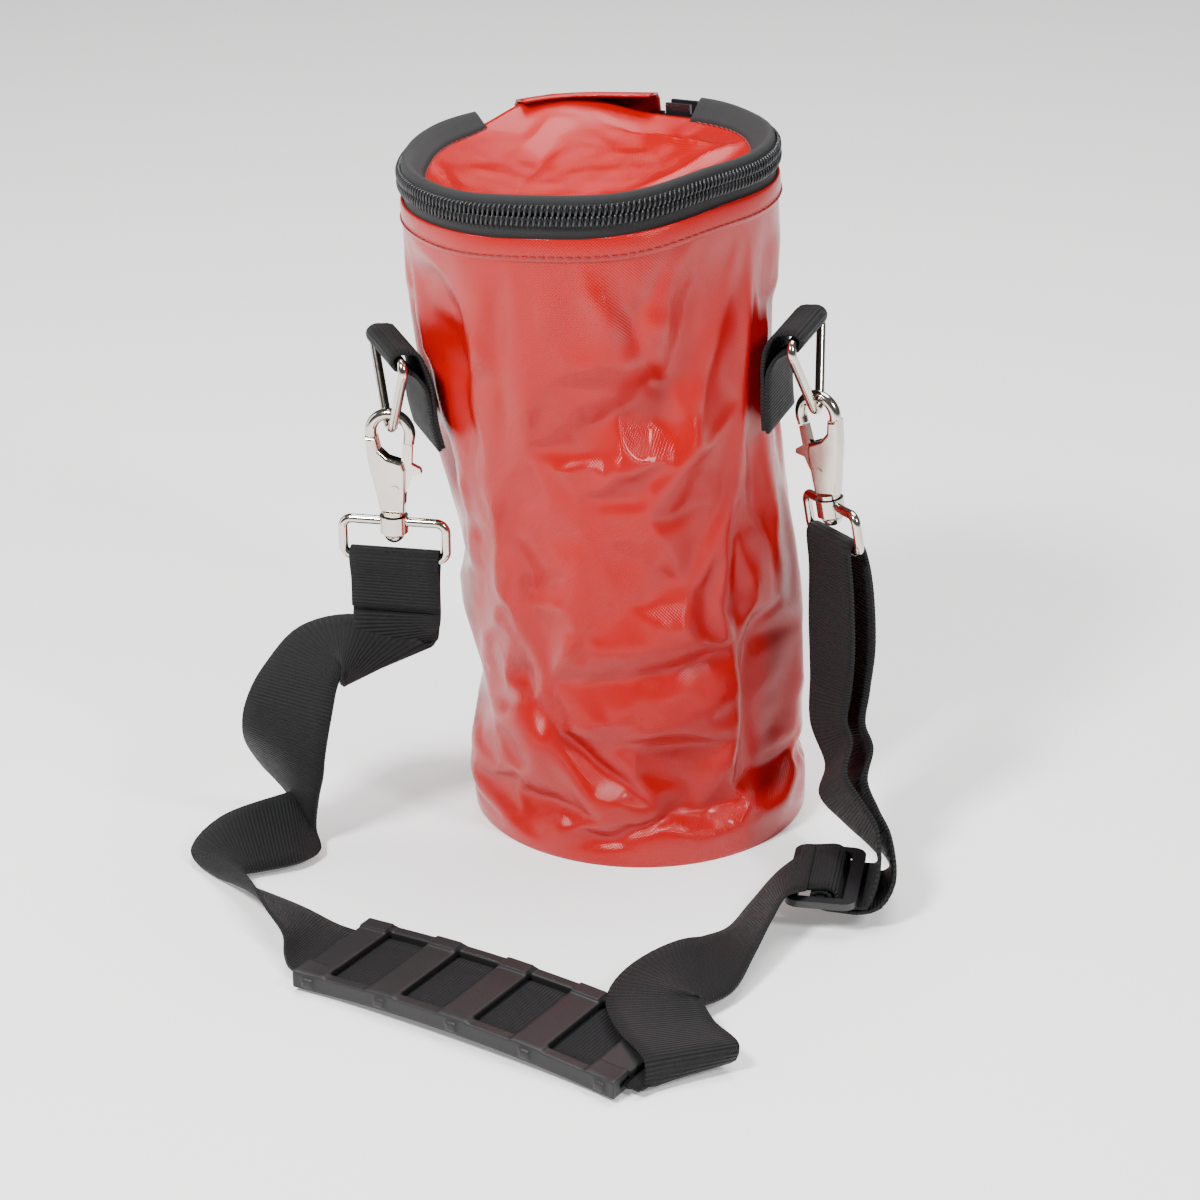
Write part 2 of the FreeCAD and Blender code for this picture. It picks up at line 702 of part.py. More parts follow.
RISE = (
    ((15, -243, 4), (17, 9, 0)),
    ((17, -241, 11), (18, 6, 0)),
    ((7, -219, 11), (19, 3, 0)),
    ((3, -203, 12.5), (18, -3, 2)),
    ((6, -192, 14), (13, -13, 2)),
    ((17, -182, 12), (4, -18, -4)),
    ((29, -168, 8), (5, -18, -2)),
    ((39, -150, 8), (4, -18, 4)),
    ((46, -132, 8), (3, -17, 6)),
)
left_stations = [(c, a * -1) for c, a in in_frame(bar_frame, SEWN_END, HALF)]
left_stations += [(Vector(*c), Vector(*a).normalize() * HALF) for c, a in FALL]
left_stations += in_frame(PAD_PLACE, PAD_RUN, HALF)
left_stations += [(Vector(*c), Vector(*a).normalize() * HALF) for c, a in RISE]

feature("shoulder_strap", ribbon(left_stations), Placement())

# Right half: sewn round the adjuster's middle bar, up to the right loop, round its bar, back
# down beside itself, and through the adjuster towards the left half.
GLIDE_PLACE = Placement(Vector(76.0, -107.0, 14.0), Rotation(UP, -10.0))
GLIDE_WRAP = (
    (3.8, -1.6), (3.8, 1.1), (2.4, 2.7), (-2.4, 2.7), (-3.8, 1.1), (-3.8, -1.1),
    (-2.4, -2.8), (1.0, -4.5), (8.0, -5.1), (17.0, -5.1),
)
GLIDE_RUN = (
    (19.0, -2.4), (16.0, -2.7), (9.6, -2.7), (7.2, -0.6), (6.2, 3.0), (3.4, 5.0),
    (-4.0, 5.2), (-14.0, 4.4), (-24.0, 3.0),
)
OUTER_PLY = (
    ((99, -109, 9), (2, 19, -2)),
    ((104, -105, 14), (1, 18, -6)),
    ((102, -96, 23), (0, 15, -11)),
    ((95, -86, 30), (-2, 14, -12)),
    ((89, -75, 38), (-4, 14, -12)),
    ((92, -64, 47), (-4, 14, -12)),
    ((87, -54, 59), (-6, 16, -8)),
    ((88, -46, 75), (-7, 17, -4)),
    ((89, -42, 98), (-8, 17, -1)),
)
INNER_PLY = (
    ((80, -46, 98), (-8, 17, -1)),
    ((80, -50, 77), (-7, 17, -4)),
    ((79, -58, 62), (-6, 16, -8)),
    ((83, -68, 52), (-4, 14, -12)),
    ((80, -79, 43), (-4, 14, -12)),
    ((88, -91, 36), (-2, 14, -12)),
    ((96, -101, 29), (0, 15, -11)),
    ((98, -108, 19), (2, 18, -5)),
)
upper_bar = turned_loop(RIGHT)
upper_bar.Base = upper_bar.Base + RIGHT.hook.Rotation.multVec(STUD_OFFSET.Base)
ROUND_BAR = (
    (4.6, -14.0), (3.5, 0.0), (2.5, 2.5), (0.0, 3.5), (-2.5, 2.5), (-3.5, 0.0), (-4.6, -14.0),
)
right_stations = in_frame(GLIDE_PLACE, GLIDE_WRAP, HALF)
right_stations += [(Vector(*c), Vector(*a).normalize() * HALF) for c, a in OUTER_PLY]
right_stations += in_frame(upper_bar, ROUND_BAR, HALF)
right_stations += [(Vector(*c), Vector(*a).normalize() * HALF) for c, a in INNER_PLY]
right_stations += in_frame(GLIDE_PLACE, GLIDE_RUN, HALF)
feature("adjuster_strap", ribbon(right_stations), Placement())


# ---------------------------------------------------------------- shoulder pad and adjuster


def shoulder_pad():
    """A moulded tray under the webbing with five bridges across it."""
    length, width = size("pad_length"), size("pad_width")
    floor, height = size("pad_floor"), size("pad_height")
    bridge = size("bridge_width")
    cheek = (width - size("webbing_width") - 1.2) / 2
    tray = Part.makeBox(length, width, floor, Vector(-length / 2, -width / 2, 0.3))
    rails = []
    for side_of in (-width / 2, width / 2 - cheek):
        rails.append(Part.makeBox(length, cheek, height - 0.3, Vector(-length / 2, side_of, 0.3)))
    step = (length - bridge) / 4
    for number in range(5):
        corner = Vector(-length / 2 + number * step, -width / 2, 5.4)
        rails.append(Part.makeBox(bridge, width, height - 5.4, corner))
    pad = tray.fuse(rails).removeSplitter()
    ends = [
        edge
        for edge in pad.Edges
        if abs(edge.BoundBox.ZLength - (height - 0.3)) < 0.01 and edge.BoundBox.XLength < 0.01
    ]
    return pad.makeFillet(4.0, ends) if ends else pad


def strap_adjuster():
    """A flat slide with two slots and a middle bar."""
    length, width, thick = size("glide_length"), size("glide_width"), size("glide_thick")
    plate = Part.makeBox(width, length, thick, Vector(-width / 2, -length / 2, -thick / 2))
    corners = [edge for edge in plate.Edges if edge.BoundBox.ZLength > thick * 0.9]
    plate = plate.makeFillet(6.0, corners)
    opening = size("webbing_width") + 2.0
    for start in (-9.5, 2.0):
        slot = Part.makeBox(7.5, opening, thick * 2, Vector(start, -opening / 2, -thick))
        plate = plate.cut(slot)
    bar_edges = [
        edge
        for edge in plate.Edges
        if abs(abs(edge.CenterOfMass.x) - 2.0) < 0.01 and edge.BoundBox.YLength > 30
    ]
    return plate.makeFillet(0.9, bar_edges)


feature("shoulder_pad", shoulder_pad(), PAD_PLACE)
feature("strap_adjuster", strap_adjuster(), GLIDE_PLACE)


# ---------------------------------------------------------------- checks and files

doc.recompute()
for obj in doc.Objects:
    if "Invalid" in obj.State or "Error" in obj.State:
        raise RuntimeError("%s did not recompute: %s" % (obj.Label, obj.State))
os.makedirs("parts", exist_ok=True)
for obj in SUB_PARTS:
    shape = obj.Shape
    if shape.isNull() or not shape.isValid() or not shape.Solids:
        raise RuntimeError("%s has no valid solid" % obj.Label)
    if len(shape.Solids) != 1:
        raise RuntimeError("%s is %d solids" % (obj.Label, len(shape.Solids)))
    shape.exportStep(os.path.join("parts", obj.Label + ".step"))
    box_size = shape.BoundBox
    print(
        "%-18s %9.1f mm3  x %.1f..%.1f  y %.1f..%.1f  z %.1f..%.1f"
        % (
            obj.Label,
            shape.Volume,
            box_size.XMin,
            box_size.XMax,
            box_size.YMin,
            box_size.YMax,
            box_size.ZMin,
            box_size.ZMax,
        )
    )
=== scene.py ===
import json
import math

import bpy
from bpy.props import FloatProperty, IntProperty, PointerProperty, StringProperty
from mathutils import Matrix, Vector, noise


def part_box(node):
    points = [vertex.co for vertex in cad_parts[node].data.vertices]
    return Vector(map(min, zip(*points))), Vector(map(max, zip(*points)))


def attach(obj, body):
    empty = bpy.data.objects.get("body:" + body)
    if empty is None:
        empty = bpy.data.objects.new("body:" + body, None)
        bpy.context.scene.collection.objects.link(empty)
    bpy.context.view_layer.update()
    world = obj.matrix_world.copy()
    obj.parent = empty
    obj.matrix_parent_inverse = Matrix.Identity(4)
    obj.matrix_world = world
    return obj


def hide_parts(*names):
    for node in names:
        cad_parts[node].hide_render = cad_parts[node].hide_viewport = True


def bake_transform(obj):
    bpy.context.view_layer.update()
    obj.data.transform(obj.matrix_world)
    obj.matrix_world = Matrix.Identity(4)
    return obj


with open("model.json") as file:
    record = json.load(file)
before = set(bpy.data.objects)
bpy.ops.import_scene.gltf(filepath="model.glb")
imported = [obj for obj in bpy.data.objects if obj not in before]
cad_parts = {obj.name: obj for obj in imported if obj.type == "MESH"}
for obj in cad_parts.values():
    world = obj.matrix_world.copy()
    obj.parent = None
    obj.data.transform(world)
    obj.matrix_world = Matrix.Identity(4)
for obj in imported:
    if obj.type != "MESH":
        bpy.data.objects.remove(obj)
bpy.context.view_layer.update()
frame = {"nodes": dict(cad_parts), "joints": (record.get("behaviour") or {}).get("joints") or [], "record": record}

bl_info = {
    "name": "Rope Storage Bag",
    "version": (1, 0, 0),
    "blender": (4, 5, 0),
    "location": "View3D > Sidebar > Rope Bag",
    "description": "Coated fabric, zip, webbing and pad of a rope storage bag, made round its CAD frame",
    "category": "Add Mesh",
}

MM = 0.001
UP = Vector((0, 0, 1))
JOINTS = {joint["name"]: joint for joint in frame["joints"]}
NODES = frame["nodes"]


# ---------------------------------------------------------------- sizes and colours


class RopeBagSizes(bpy.types.PropertyGroup):
    """Sizes that a maker would change."""

    wall_thickness: FloatProperty(
        name="Fabric", description="Coated fabric thickness", default=0.9 * MM, unit="LENGTH"
    )
    fabric_slack: FloatProperty(
        name="Slack",
        description="How much more cloth the wall has than its height needs",
        default=0.03,
        subtype="FACTOR",
    )
    scrim_pitch: FloatProperty(
        name="Scrim pitch", description="Spacing of the scrim threads", default=1.35 * MM, unit="LENGTH"
    )
    coil_pitch: FloatProperty(
        name="Coil pitch", description="Spacing of the zip coil's turns", default=2.25 * MM, unit="LENGTH"
    )
    coil_wire: FloatProperty(
        name="Coil wire", description="Radius of the coil's nylon wire", default=0.52 * MM, unit="LENGTH"
    )
    stitch_pitch: FloatProperty(
        name="Stitch pitch", description="Length of one stitch and its gap", default=3.6 * MM, unit="LENGTH"
    )
    webbing_width: FloatProperty(
        name="Webbing width", description="Width of the strap webbing", default=38 * MM, unit="LENGTH"
    )
    webbing_thickness: FloatProperty(
        name="Webbing thickness", description="Thickness of the webbing", default=1.5 * MM, unit="LENGTH"
    )
    rib_pitch: FloatProperty(
        name="Rib pitch", description="Spacing of the webbing's ribs", default=1.5 * MM, unit="LENGTH"
    )
    pad_arch: FloatProperty(
        name="Pad arch", description="Rise of the pad's middle", default=4 * MM, unit="LENGTH"
    )
    around: IntProperty(name="Columns", description="Faces round the wall", default=190, min=24)


class RopeBagColours(bpy.types.PropertyGroup):
    """Colours, each an sRGB hex value."""

    coated_fabric: StringProperty(name="Fabric", description="PVC coating", default="#A40104")
    webbing: StringProperty(name="Webbing", description="Polypropylene", default="#0C0C0E")
    zip_tape: StringProperty(name="Zip tape", description="Polyester tape", default="#0C0C0E")
    nylon: StringProperty(name="Coil", description="Nylon coil", default="#1C1C1F")
    nickel: StringProperty(name="Nickel", description="Plated hardware", default="#CFC7BB")
    rubber: StringProperty(name="Rubber", description="Moulded pad", default="#1D1B1C")
    floor: StringProperty(name="Floor", description="Studio floor", default="#F4F4F3")


def sizes():
    return bpy.context.scene.rope_bag_sizes


def colours():
    return bpy.context.scene.rope_bag_colours


def linear(hexadecimal):
    """An sRGB hex colour as linear red, green, blue and alpha."""
    values = [int(hexadecimal[i : i + 2], 16) / 255 for i in (1, 3, 5)]
    return [v / 12.92 if v <= 0.04045 else ((v + 0.055) / 1.055) ** 2.4 for v in values] + [1.0]


# ---------------------------------------------------------------- materials


def add(tree, kind, inputs=(), **settings):
    """Adds a node, sets its properties and sockets, and links the sockets given as outputs."""
    node = tree.nodes.new(kind)
    for name, value in settings.items():
        setattr(node, name, value)
    for key, value in dict(inputs).items():
        if isinstance(value, bpy.types.NodeSocket):
            tree.links.new(value, node.inputs[key])
        else:
            node.inputs[key].default_value = value
    return node


def finish_named(name, slot_name, **surface):
    """An empty material with a Principled surface, and the tree to build on."""
    material = bpy.data.materials.get(name)
    if material:
        return material, None, None
    material = bpy.data.materials.new(name)
    material.use_nodes = True
    material["slot"] = slot_name
    tree = material.node_tree
    tree.nodes.clear()
    shader = add(tree, "ShaderNodeBsdfPrincipled", surface)
    out = add(tree, "ShaderNodeOutputMaterial", {"Surface": shader.outputs[0]})
    out.location = (300, 0)
    return material, tree, shader


def waves(tree, coordinate, pitch):
    """A sine along one coordinate in metres, one wave for each pitch, from -1 to 1."""
    turns = add(tree, "ShaderNodeMath", {0: coordinate, 1: 2 * math.pi / pitch}, operation="MULTIPLY")
    return add(tree, "ShaderNodeMath", {0: turns.outputs[0]}, operation="SINE").outputs[0]


def combine(tree, operation, a, b):
    return add(tree, "ShaderNodeMath", {0: a, 1: b}, operation=operation).outputs[0]


def cut_cloth_uv(tree):
    """The cloth's own lengthways and crossways coordinates, in metres."""
    uv = add(tree, "ShaderNodeUVMap", uv_map="cloth")
    split = add(tree, "ShaderNodeSeparateXYZ", {0: uv.outputs[0]})
    return split.outputs[0], split.outputs[1]


def cloudy(tree, scale, detail=3.0):
    place = add(tree, "ShaderNodeTexCoord").outputs["Object"]
    made = add(tree, "ShaderNodeTexNoise", {"Vector": place, "Scale": scale, "Detail": detail})
    return made.outputs["Fac"]


def spread(tree, factor, low, high):
    made = add(tree, "ShaderNodeMapRange", {"Value": factor, "To Min": low, "To Max": high})
    return made.outputs["Result"]


def tint(tree, factor, dark, light):
    """Mixes two colours, through the mix node's own colour sockets."""
    return add(tree, "ShaderNodeMix", {0: factor, 6: dark, 7: light}, data_type="RGBA").outputs[2]


def shaded(colour, factor):
    return [channel * factor for channel in colour[:3]] + [1.0]


def coated_fabric():
    """PVC tarpaulin, calendered on a woven scrim: a wet gloss whose reflections show the threads."""
    material, tree, shader = finish_named(
        "calendered_pvc",
        "red_pvc",
        **{"Coat Weight": 0.12, "Coat Roughness": 0.04, "Specular IOR Level": 0.34},
    )
    if tree is None:
        return material
    along, across = cut_cloth_uv(tree)
    pitch = sizes().scrim_pitch
    threads = combine(tree, "MULTIPLY", waves(tree, along, pitch), waves(tree, across, pitch))
    soil = cloudy(tree, 14.0)
    height = combine(tree, "ADD", threads, combine(tree, "MULTIPLY", cloudy(tree, 260.0), 0.8))
    bump = add(tree, "ShaderNodeBump", {"Strength": 0.6, "Distance": 0.12 * MM, "Height": height})
    red = linear(colours().coated_fabric)
    links = tree.links
    links.new(tint(tree, soil, shaded(red, 0.86), shaded(red, 1.08)), shader.inputs["Base Color"])
    links.new(spread(tree, cloudy(tree, 45.0), 0.1, 0.18), shader.inputs["Roughness"])
    links.new(bump.outputs[0], shader.inputs["Normal"])
    return material


def ribbed_webbing():
    """Polypropylene webbing, woven with ribs across it: soft dull black, with a painted highlight on each rib's
    crest and painted shade between the ribs.
    """
    material, tree, shader = finish_named(
        "woven_polypropylene",
        "webbing",
        **{"Sheen Weight": 0.03, "Sheen Roughness": 0.5, "Specular IOR Level": 0.25},
    )
    if tree is None:
        return material
    along, across = cut_cloth_uv(tree)
    pitch = sizes().rib_pitch
    ribs = waves(tree, along, pitch)
    # Yarn ends wrap each rib; drawn at three quarters of a millimetre, their real spacing.
    yarns = waves(tree, combine(tree, "ADD", across, combine(tree, "MULTIPLY", along, 0.5)), 0.75 * MM)
    height = combine(tree, "ADD", ribs, combine(tree, "MULTIPLY", yarns, 0.3))
    bump = add(tree, "ShaderNodeBump", {"Strength": 0.9, "Distance": 0.28 * MM, "Height": height})
    black = linear(colours().webbing)
    # Painted highlight on the ribs' crests and painted shade between them, mixed with a random unevenness of tone.
    light = spread(tree, combine(tree, "ADD", ribs, cloudy(tree, 90.0)), 0.2, 0.75)
    links = tree.links
    links.new(tint(tree, light, shaded(black, 0.5), shaded(black, 1.5)), shader.inputs["Base Color"])
    links.new(spread(tree, cloudy(tree, 300.0), 0.58, 0.8), shader.inputs["Roughness"])
    links.new(bump.outputs[0], shader.inputs["Normal"])
    return material


def woven_tape():
    """Polyester zip tape, a close fine weave that looks almost flat black."""
    material, tree, shader = finish_named(
        "woven_polyester", "zip_tape", **{"Sheen Weight": 0.05, "IOR": 1.5}
    )
    if tree is None:
        return material
    along, across = cut_cloth_uv(tree)
    weave = combine(tree, "MULTIPLY", waves(tree, along, 0.9 * MM), waves(tree, across, 0.9 * MM))
    bump = add(tree, "ShaderNodeBump", {"Strength": 0.6, "Distance": 0.15 * MM, "Height": weave})
    black = linear(colours().zip_tape)
    light = cloudy(tree, 120.0)
    tree.links.new(tint(tree, light, shaded(black, 0.7), shaded(black, 1.8)), shader.inputs["Base Color"])
    tree.links.new(bump.outputs[0], shader.inputs["Normal"])
    shader.inputs["Roughness"].default_value = 0.78
    return material


def plain_finish(name, slot_name, colour, rough, grain, depth, **surface):
    """A moulded, drawn, plated or painted finish: a little unevenness in shade, gloss and surface."""
    material, tree, shader = finish_named(name, slot_name, **surface)
    if tree is None:
        return material
    uneven = cloudy(tree, grain)
    bump = add(tree, "ShaderNodeBump", {"Strength": 0.5, "Distance": depth, "Height": uneven})
    links = tree.links
    links.new(tint(tree, cloudy(tree, 60.0), shaded(colour, 0.8), shaded(colour, 1.15)), shader.inputs[0])
    links.new(spread(tree, uneven, rough * 0.75, rough * 1.3), shader.inputs["Roughness"])
    links.new(bump.outputs[0], shader.inputs["Normal"])
    return material


def drawn_nylon():
    """Nylon monofilament coil, drawn smooth: a satin black with small bright glints."""
    return plain_finish("drawn_nylon", "zip_coil", linear(colours().nylon), 0.32, 900.0, 0.02 * MM, IOR=1.53)


def nickel_plate():
    """Nickel on cast zinc, tumbled and plated bright: warm mirror with a faint casting ripple."""
    return plain_finish(
        "nickel_plate", "nickel", linear(colours().nickel), 0.13, 220.0, 0.04 * MM, Metallic=1.0
    )


def spring_wire():
    """Drawn steel spring wire, greyer and duller than the plating."""
    return plain_finish("spring_wire", "spring_steel", linear("#8E8E90"), 0.3, 700.0, 0.02 * MM, Metallic=1.0)


def black_enamel():
    """Stoved black enamel on zinc: a hard smooth half gloss."""
    return plain_finish(
        "black_enamel", "zip_metal", linear("#1A1A1C"), 0.28, 500.0, 0.02 * MM, **{"Coat Weight": 0.3}
    )


def moulded_rubber():
    """Compression-moulded rubber with the mould's fine spark texture: dull black, brownish in the light."""
    colour = linear(colours().rubber)
    return plain_finish("moulded_rubber", "pad_rubber", colour, 0.5, 1500.0, 0.06 * MM, IOR=1.4)


def moulded_nylon():
    """Injection-moulded glass-filled nylon: an even satin black."""
    colour = linear("#18181A")
    return plain_finish("moulded_nylon", "black_plastic", colour, 0.38, 1100.0, 0.03 * MM, IOR=1.53)


def sewing_thread():
    """Bonded polyester thread, a shade darker than the fabric it sinks into."""
    return plain_finish("bonded_thread", "red_pvc", linear("#7A0F0D"), 0.6, 2000.0, 0.03 * MM)


# ---------------------------------------------------------------- mesh tools


def piece_from(name, verts, faces, material, uvs=None, smooth_angle=35.0):
    """A mesh object with its material, its UV map in metres and its edges sharpened by angle."""
    mesh = bpy.data.meshes.new(name)
    mesh.from_pydata([tuple(v) for v in verts], [], faces)
    if uvs:
        layer = mesh.uv_layers.new(name="cloth")
        for loop, uv in zip(layer.data, uvs):
            loop.uv = uv
    mesh.validate()
    mesh.shade_smooth()
    mesh.set_sharp_from_angle(angle=math.radians(smooth_angle))
    mesh.materials.append(material)
    obj = bpy.data.objects.new(name, mesh)
    bpy.context.scene.collection.objects.link(obj)
    return obj


def skin(name, rows, material, wrap=False, u_of=None, v_of=None, smooth_angle=35.0):
    """A mesh through rows of points; u_of and v_of give a column's and a row's place on the cloth."""
    count = len(rows[0])
    last = count if wrap else count - 1
    faces, uvs = [], []
    for i in range(len(rows) - 1):
        for j in range(last):
            k = (j + 1) % count
            faces.append((i * count + j, i * count + k, (i + 1) * count + k, (i + 1) * count + j))
            for row, column in ((i, j), (i, j + 1), (i + 1, j + 1), (i + 1, j)):
                uvs.append((u_of(column), v_of(row)))
    return piece_from(name, [p for row in rows for p in row], faces, material, uvs, smooth_angle)


def baked(obj):
    """Applies the object's modifiers to its mesh."""
    bpy.context.view_layer.update()
    graph = bpy.context.evaluated_depsgraph_get()
    done = obj.evaluated_get(graph)
    mesh = bpy.data.meshes.new_from_object(done, preserve_all_data_layers=True, depsgraph=graph)
    old = obj.data
    obj.modifiers.clear()
    obj.data = mesh
    bpy.data.meshes.remove(old)
    return obj


def thickened(obj, thickness, offset, rounding=0):
    """Gives a sheet its thickness; offset 1 grows outwards, -1 inwards, 0 both ways."""
    if rounding:
        rounder = obj.modifiers.new("round", "SUBSURF")
        rounder.levels = rounder.render_levels = rounding
    solid = obj.modifiers.new("thickness", "SOLIDIFY")
    solid.thickness = thickness
    solid.offset = offset
    return baked(obj)


def tube(path, radius, sides, closed_ends=True):
    """Points and faces of a round tube along a path."""
    verts, faces = [], []
    side = None
    for index, point in enumerate(path):
        ahead = path[min(index + 1, len(path) - 1)] - path[max(index - 1, 0)]
        ahead.normalize()
        if side is None:
            side = ahead.orthogonal().normalized()
        side = (side - ahead * side.dot(ahead)).normalized()
        other = ahead.cross(side)
        for step in range(sides):
            turn = 2 * math.pi * step / sides
            verts.append(point + side * math.cos(turn) * radius + other * math.sin(turn) * radius)
    for i in range(len(path) - 1):
        for j in range(sides):
            k = (j + 1) % sides
            faces.append((i * sides + j, i * sides + k, (i + 1) * sides + k, (i + 1) * sides + j))
    if closed_ends:
        faces.append(tuple(reversed(range(sides))))
        faces.append(tuple(range((len(path) - 1) * sides, len(path) * sides)))
    return verts, faces


def joined(parts):
    """Several meshes' points and faces as one list."""
    verts, faces = [], []
    for part_verts, part_faces in parts:
        base = len(verts)
        verts += part_verts
        faces += [tuple(index + base for index in face) for face in part_faces]
    return verts, faces


def stitched_line(name, points, normals, material, pitch, closed=True):
    """A row of lockstitches sunk a little into the cloth along a line of points."""
    lengths = [0.0]
    for a, b in zip(points, points[1:]):
        lengths.append(lengths[-1] + (b - a).length)
    count = int(lengths[-1] / pitch)
    parts = []

    def on_line(distance):
        index = 1
        while index < len(lengths) - 1 and lengths[index] < distance:
            index += 1
        share = (distance - lengths[index - 1]) / max(lengths[index] - lengths[index - 1], 1e-9)
        point = points[index - 1].lerp(points[index], share)
        return point, normals[index - 1].lerp(normals[index], share).normalized()

    for number in range(count):
        start = (number + 0.12) * pitch
        path = []
        for share, lift in ((0.0, -0.25), (0.12, 0.16), (0.5, 0.26), (0.88, 0.16), (1.0, -0.25)):
            point, outward = on_line(start + share * pitch * 0.76)
            path.append(point + outward * lift * MM)
        parts.append(tube(path, 0.3 * MM, 6))
    verts, faces = joined(parts)
    return piece_from(name, verts, faces, material, smooth_angle=60.0)


# ---------------------------------------------------------------- the bag's own shape

ZIP = JOINTS["zip_travel"]
SLIDER_TRACK_HEIGHT = 9.2 * MM


def mouth_frame():
    """The leaning mouth: origin in the middle of the hem's top edge, +Z out of the bag, +Y to the hinge."""
    up = -Vector(ZIP["axis"])
    right = -Vector(JOINTS["lid_hinge"]["axis"])
    centre = Vector(ZIP["pos_m"]) - up * SLIDER_TRACK_HEIGHT
    made = Matrix((right, up.cross(right), up)).transposed().to_4x4()
    made.translation = centre
    return made


MOUTH = mouth_frame()
CENTRE = MOUTH.translation
WALL_HEIGHT = CENTRE.z
# The slack wall's outline: height, middle X, middle Y and radius, in millimetres.
OUTLINE = (
    (0, 0, 0, 73.6), (14, 0, 0, 74.6), (45, -0.2, -0.5, 74.0), (72, 0.6, -1.0, 74.6),
    (106, -2.6, -1.5, 76.6), (140, -8.6, -2.5, 75.0), (165, -13.6, -4.0, 74.6),
    (199, -18.6, -5.4, 76.2), (231, -20.6, -6.6, 77.6), (262, -21.6, -7.6, 77.9), (284, -22, -8, 77.9),
)
# Dents and bulges, in millimetres and degrees: angle round the wall, height, half width, half
# height, depth (inwards positive) and how far the fold leans from upright.
FOLDS = (
    (-92, 92, 62, 9, 6.5, 82), (-100, 62, 42, 16, -3.0, 74), (-116, 62, 38, 7, 5.5, -52),
    (-104, 30, 30, 14, -3.6, 60), (-84, 22, 26, 9, 3.4, 70), (-38, 74, 17, 36, 7.0, 8),
    (-66, 128, 40, 10, 3.4, -58), (-86, 206, 30, 12, 4.6, 66), (-80, 186, 34, 9, -3.0, 76),
    (-62, 232, 11, 34, 5.0, 18), (-76, 240, 6, 26, 3.6, -20), (-88, 256, 5, 18, -2.4, -24),
    (-70, 262, 6, 22, 2.6, 28), (-55, 210, 8, 26, -3.2, 24), (-140, 214, 13, 36, 4.4, -12),
    (-128, 236, 9, 30, -2.6, 16), (-150, 130, 16, 38, 5.0, 10), (-126, 122, 36, 9, 3.0, 62),
    (-30, 170, 18, 28, 5.0, -22), (-22, 246, 12, 22, 3.6, 10), (-162, 60, 26, 16, 3.8, 64),
    (-20, 46, 24, 20, 4.2, -40), (24, 150, 14, 30, 3.0, 20), (36, 92, 34, 14, 4.6, 70),
    (64, 190, 26, 18, 4.0, -60), (90, 120, 24, 40, 5.0, 12), (112, 60, 36, 12, 4.0, 66),
    (132, 200, 20, 34, 4.6, -18), (156, 130, 22, 30, 4.4, 24), (172, 236, 12, 26, 3.4, -14),
    (196, 176, 14, 30, 3.6, 12), (60, 250, 10, 22, 3.0, 16), (100, 236, 12, 26, 3.4, -22),
)
# How strongly the folds and the facets are pressed in, how fast a facet runs out above and below,
# and how far the slack corner of the mouth is pulled in and lifted, in millimetres.
FOLD_DEPTH = 1.35
FACET_DEPTH = 1.7
FACET_RUN_OUT = 0.3
MOUTH_PULL = 5.0
MOUTH_LIFT = 2.2
# Flat facets of the stiff coating: angle, height, half height, depth of the cut and lean.
FACETS = (
    (-50, 234, 30, 3.6, 0.1), (-95, 206, 14, 3.4, 0.3), (-73, 209, 9, 3.8, -0.2), (-148, 240, 22, 3.8, -0.4),
    (-112, 42, 18, 3.6, 0.5), (-118, 150, 26, 3.0, 0.3), (-84, 152, 28, 2.6, -0.3), (-60, 138, 26, 3.4, -0.2),
    (-34, 62, 30, 4.8, 0.1), (-72, 40, 16, 3.2, -0.4), (-136, 92, 20, 3.6, 0.6), (-4, 214, 22, 3.6, 0.2),
    (30, 170, 24, 3.8, -0.3), (62, 100, 28, 3.8, 0.4), (95, 200, 24, 3.6, -0.2), (130, 120, 28, 3.8, 0.3),
    (160, 60, 24, 3.6, -0.4), (170, 222, 20, 3.2, 0.2), (20, 50, 20, 3.6, 0.4), (110, 40, 18, 3.6, -0.3),
    (-170, 150, 28, 3.4, 0.2), (60, 232, 16, 3.4, 0.3),
)


def smooth(share):
    share = min(max(share, 0.0), 1.0)
    return share * share * (3 - 2 * share)


def outline_at(height):
    """Middle X, middle Y and radius of the wall at a height in millimetres."""
    for low, high in zip(OUTLINE, OUTLINE[1:]):
        if height <= high[0]:
            share = smooth((height - low[0]) / (high[0] - low[0])) * 0.5
            share += 0.5 * (height - low[0]) / (high[0] - low[0])
            return [a + (b - a) * share for a, b in zip(low[1:], high[1:])]
    return list(OUTLINE[-1][1:])


def dent(angle, height):
    """How far the folds push the wall inwards, in millimetres."""
    total = 0.0
    for middle, level, half_width, half_height, depth, lean in FOLDS:
        away = (angle - middle + 180) % 360 - 180
        x, y = math.radians(away) * 76, height - level
        turn = math.radians(lean)
        long_way = max(half_width, half_height)
        short_way = min(half_width, half_height)
        run = (x * math.sin(turn) + y * math.cos(turn)) / long_way
        cut = (x * math.cos(turn) - y * math.sin(turn)) / short_way
        # A crisp crease along the fold's middle with soft shoulders.
        across = 0.55 * math.exp(-cut * cut) + 0.45 * math.exp(-abs(cut) * 1.6)
        total += depth * math.exp(-run * run) * across
    return FOLD_DEPTH * total


def flattened(angle, height, radius):
    """The wall's radius where flat facets cut it, meeting in crisp edges."""
    for middle, level, half_height, cut, lean in FACETS:
        away = (angle - middle - lean * (height - level) + 180) % 360 - 180
        if abs(away) < 50:
            beyond = max(abs(height - level) - half_height, 0.0)
            plane = (outline_at(height)[2] - cut) / math.cos(math.radians(away)) + FACET_RUN_OUT * beyond
            radius = min(radius, plane)
    return radius


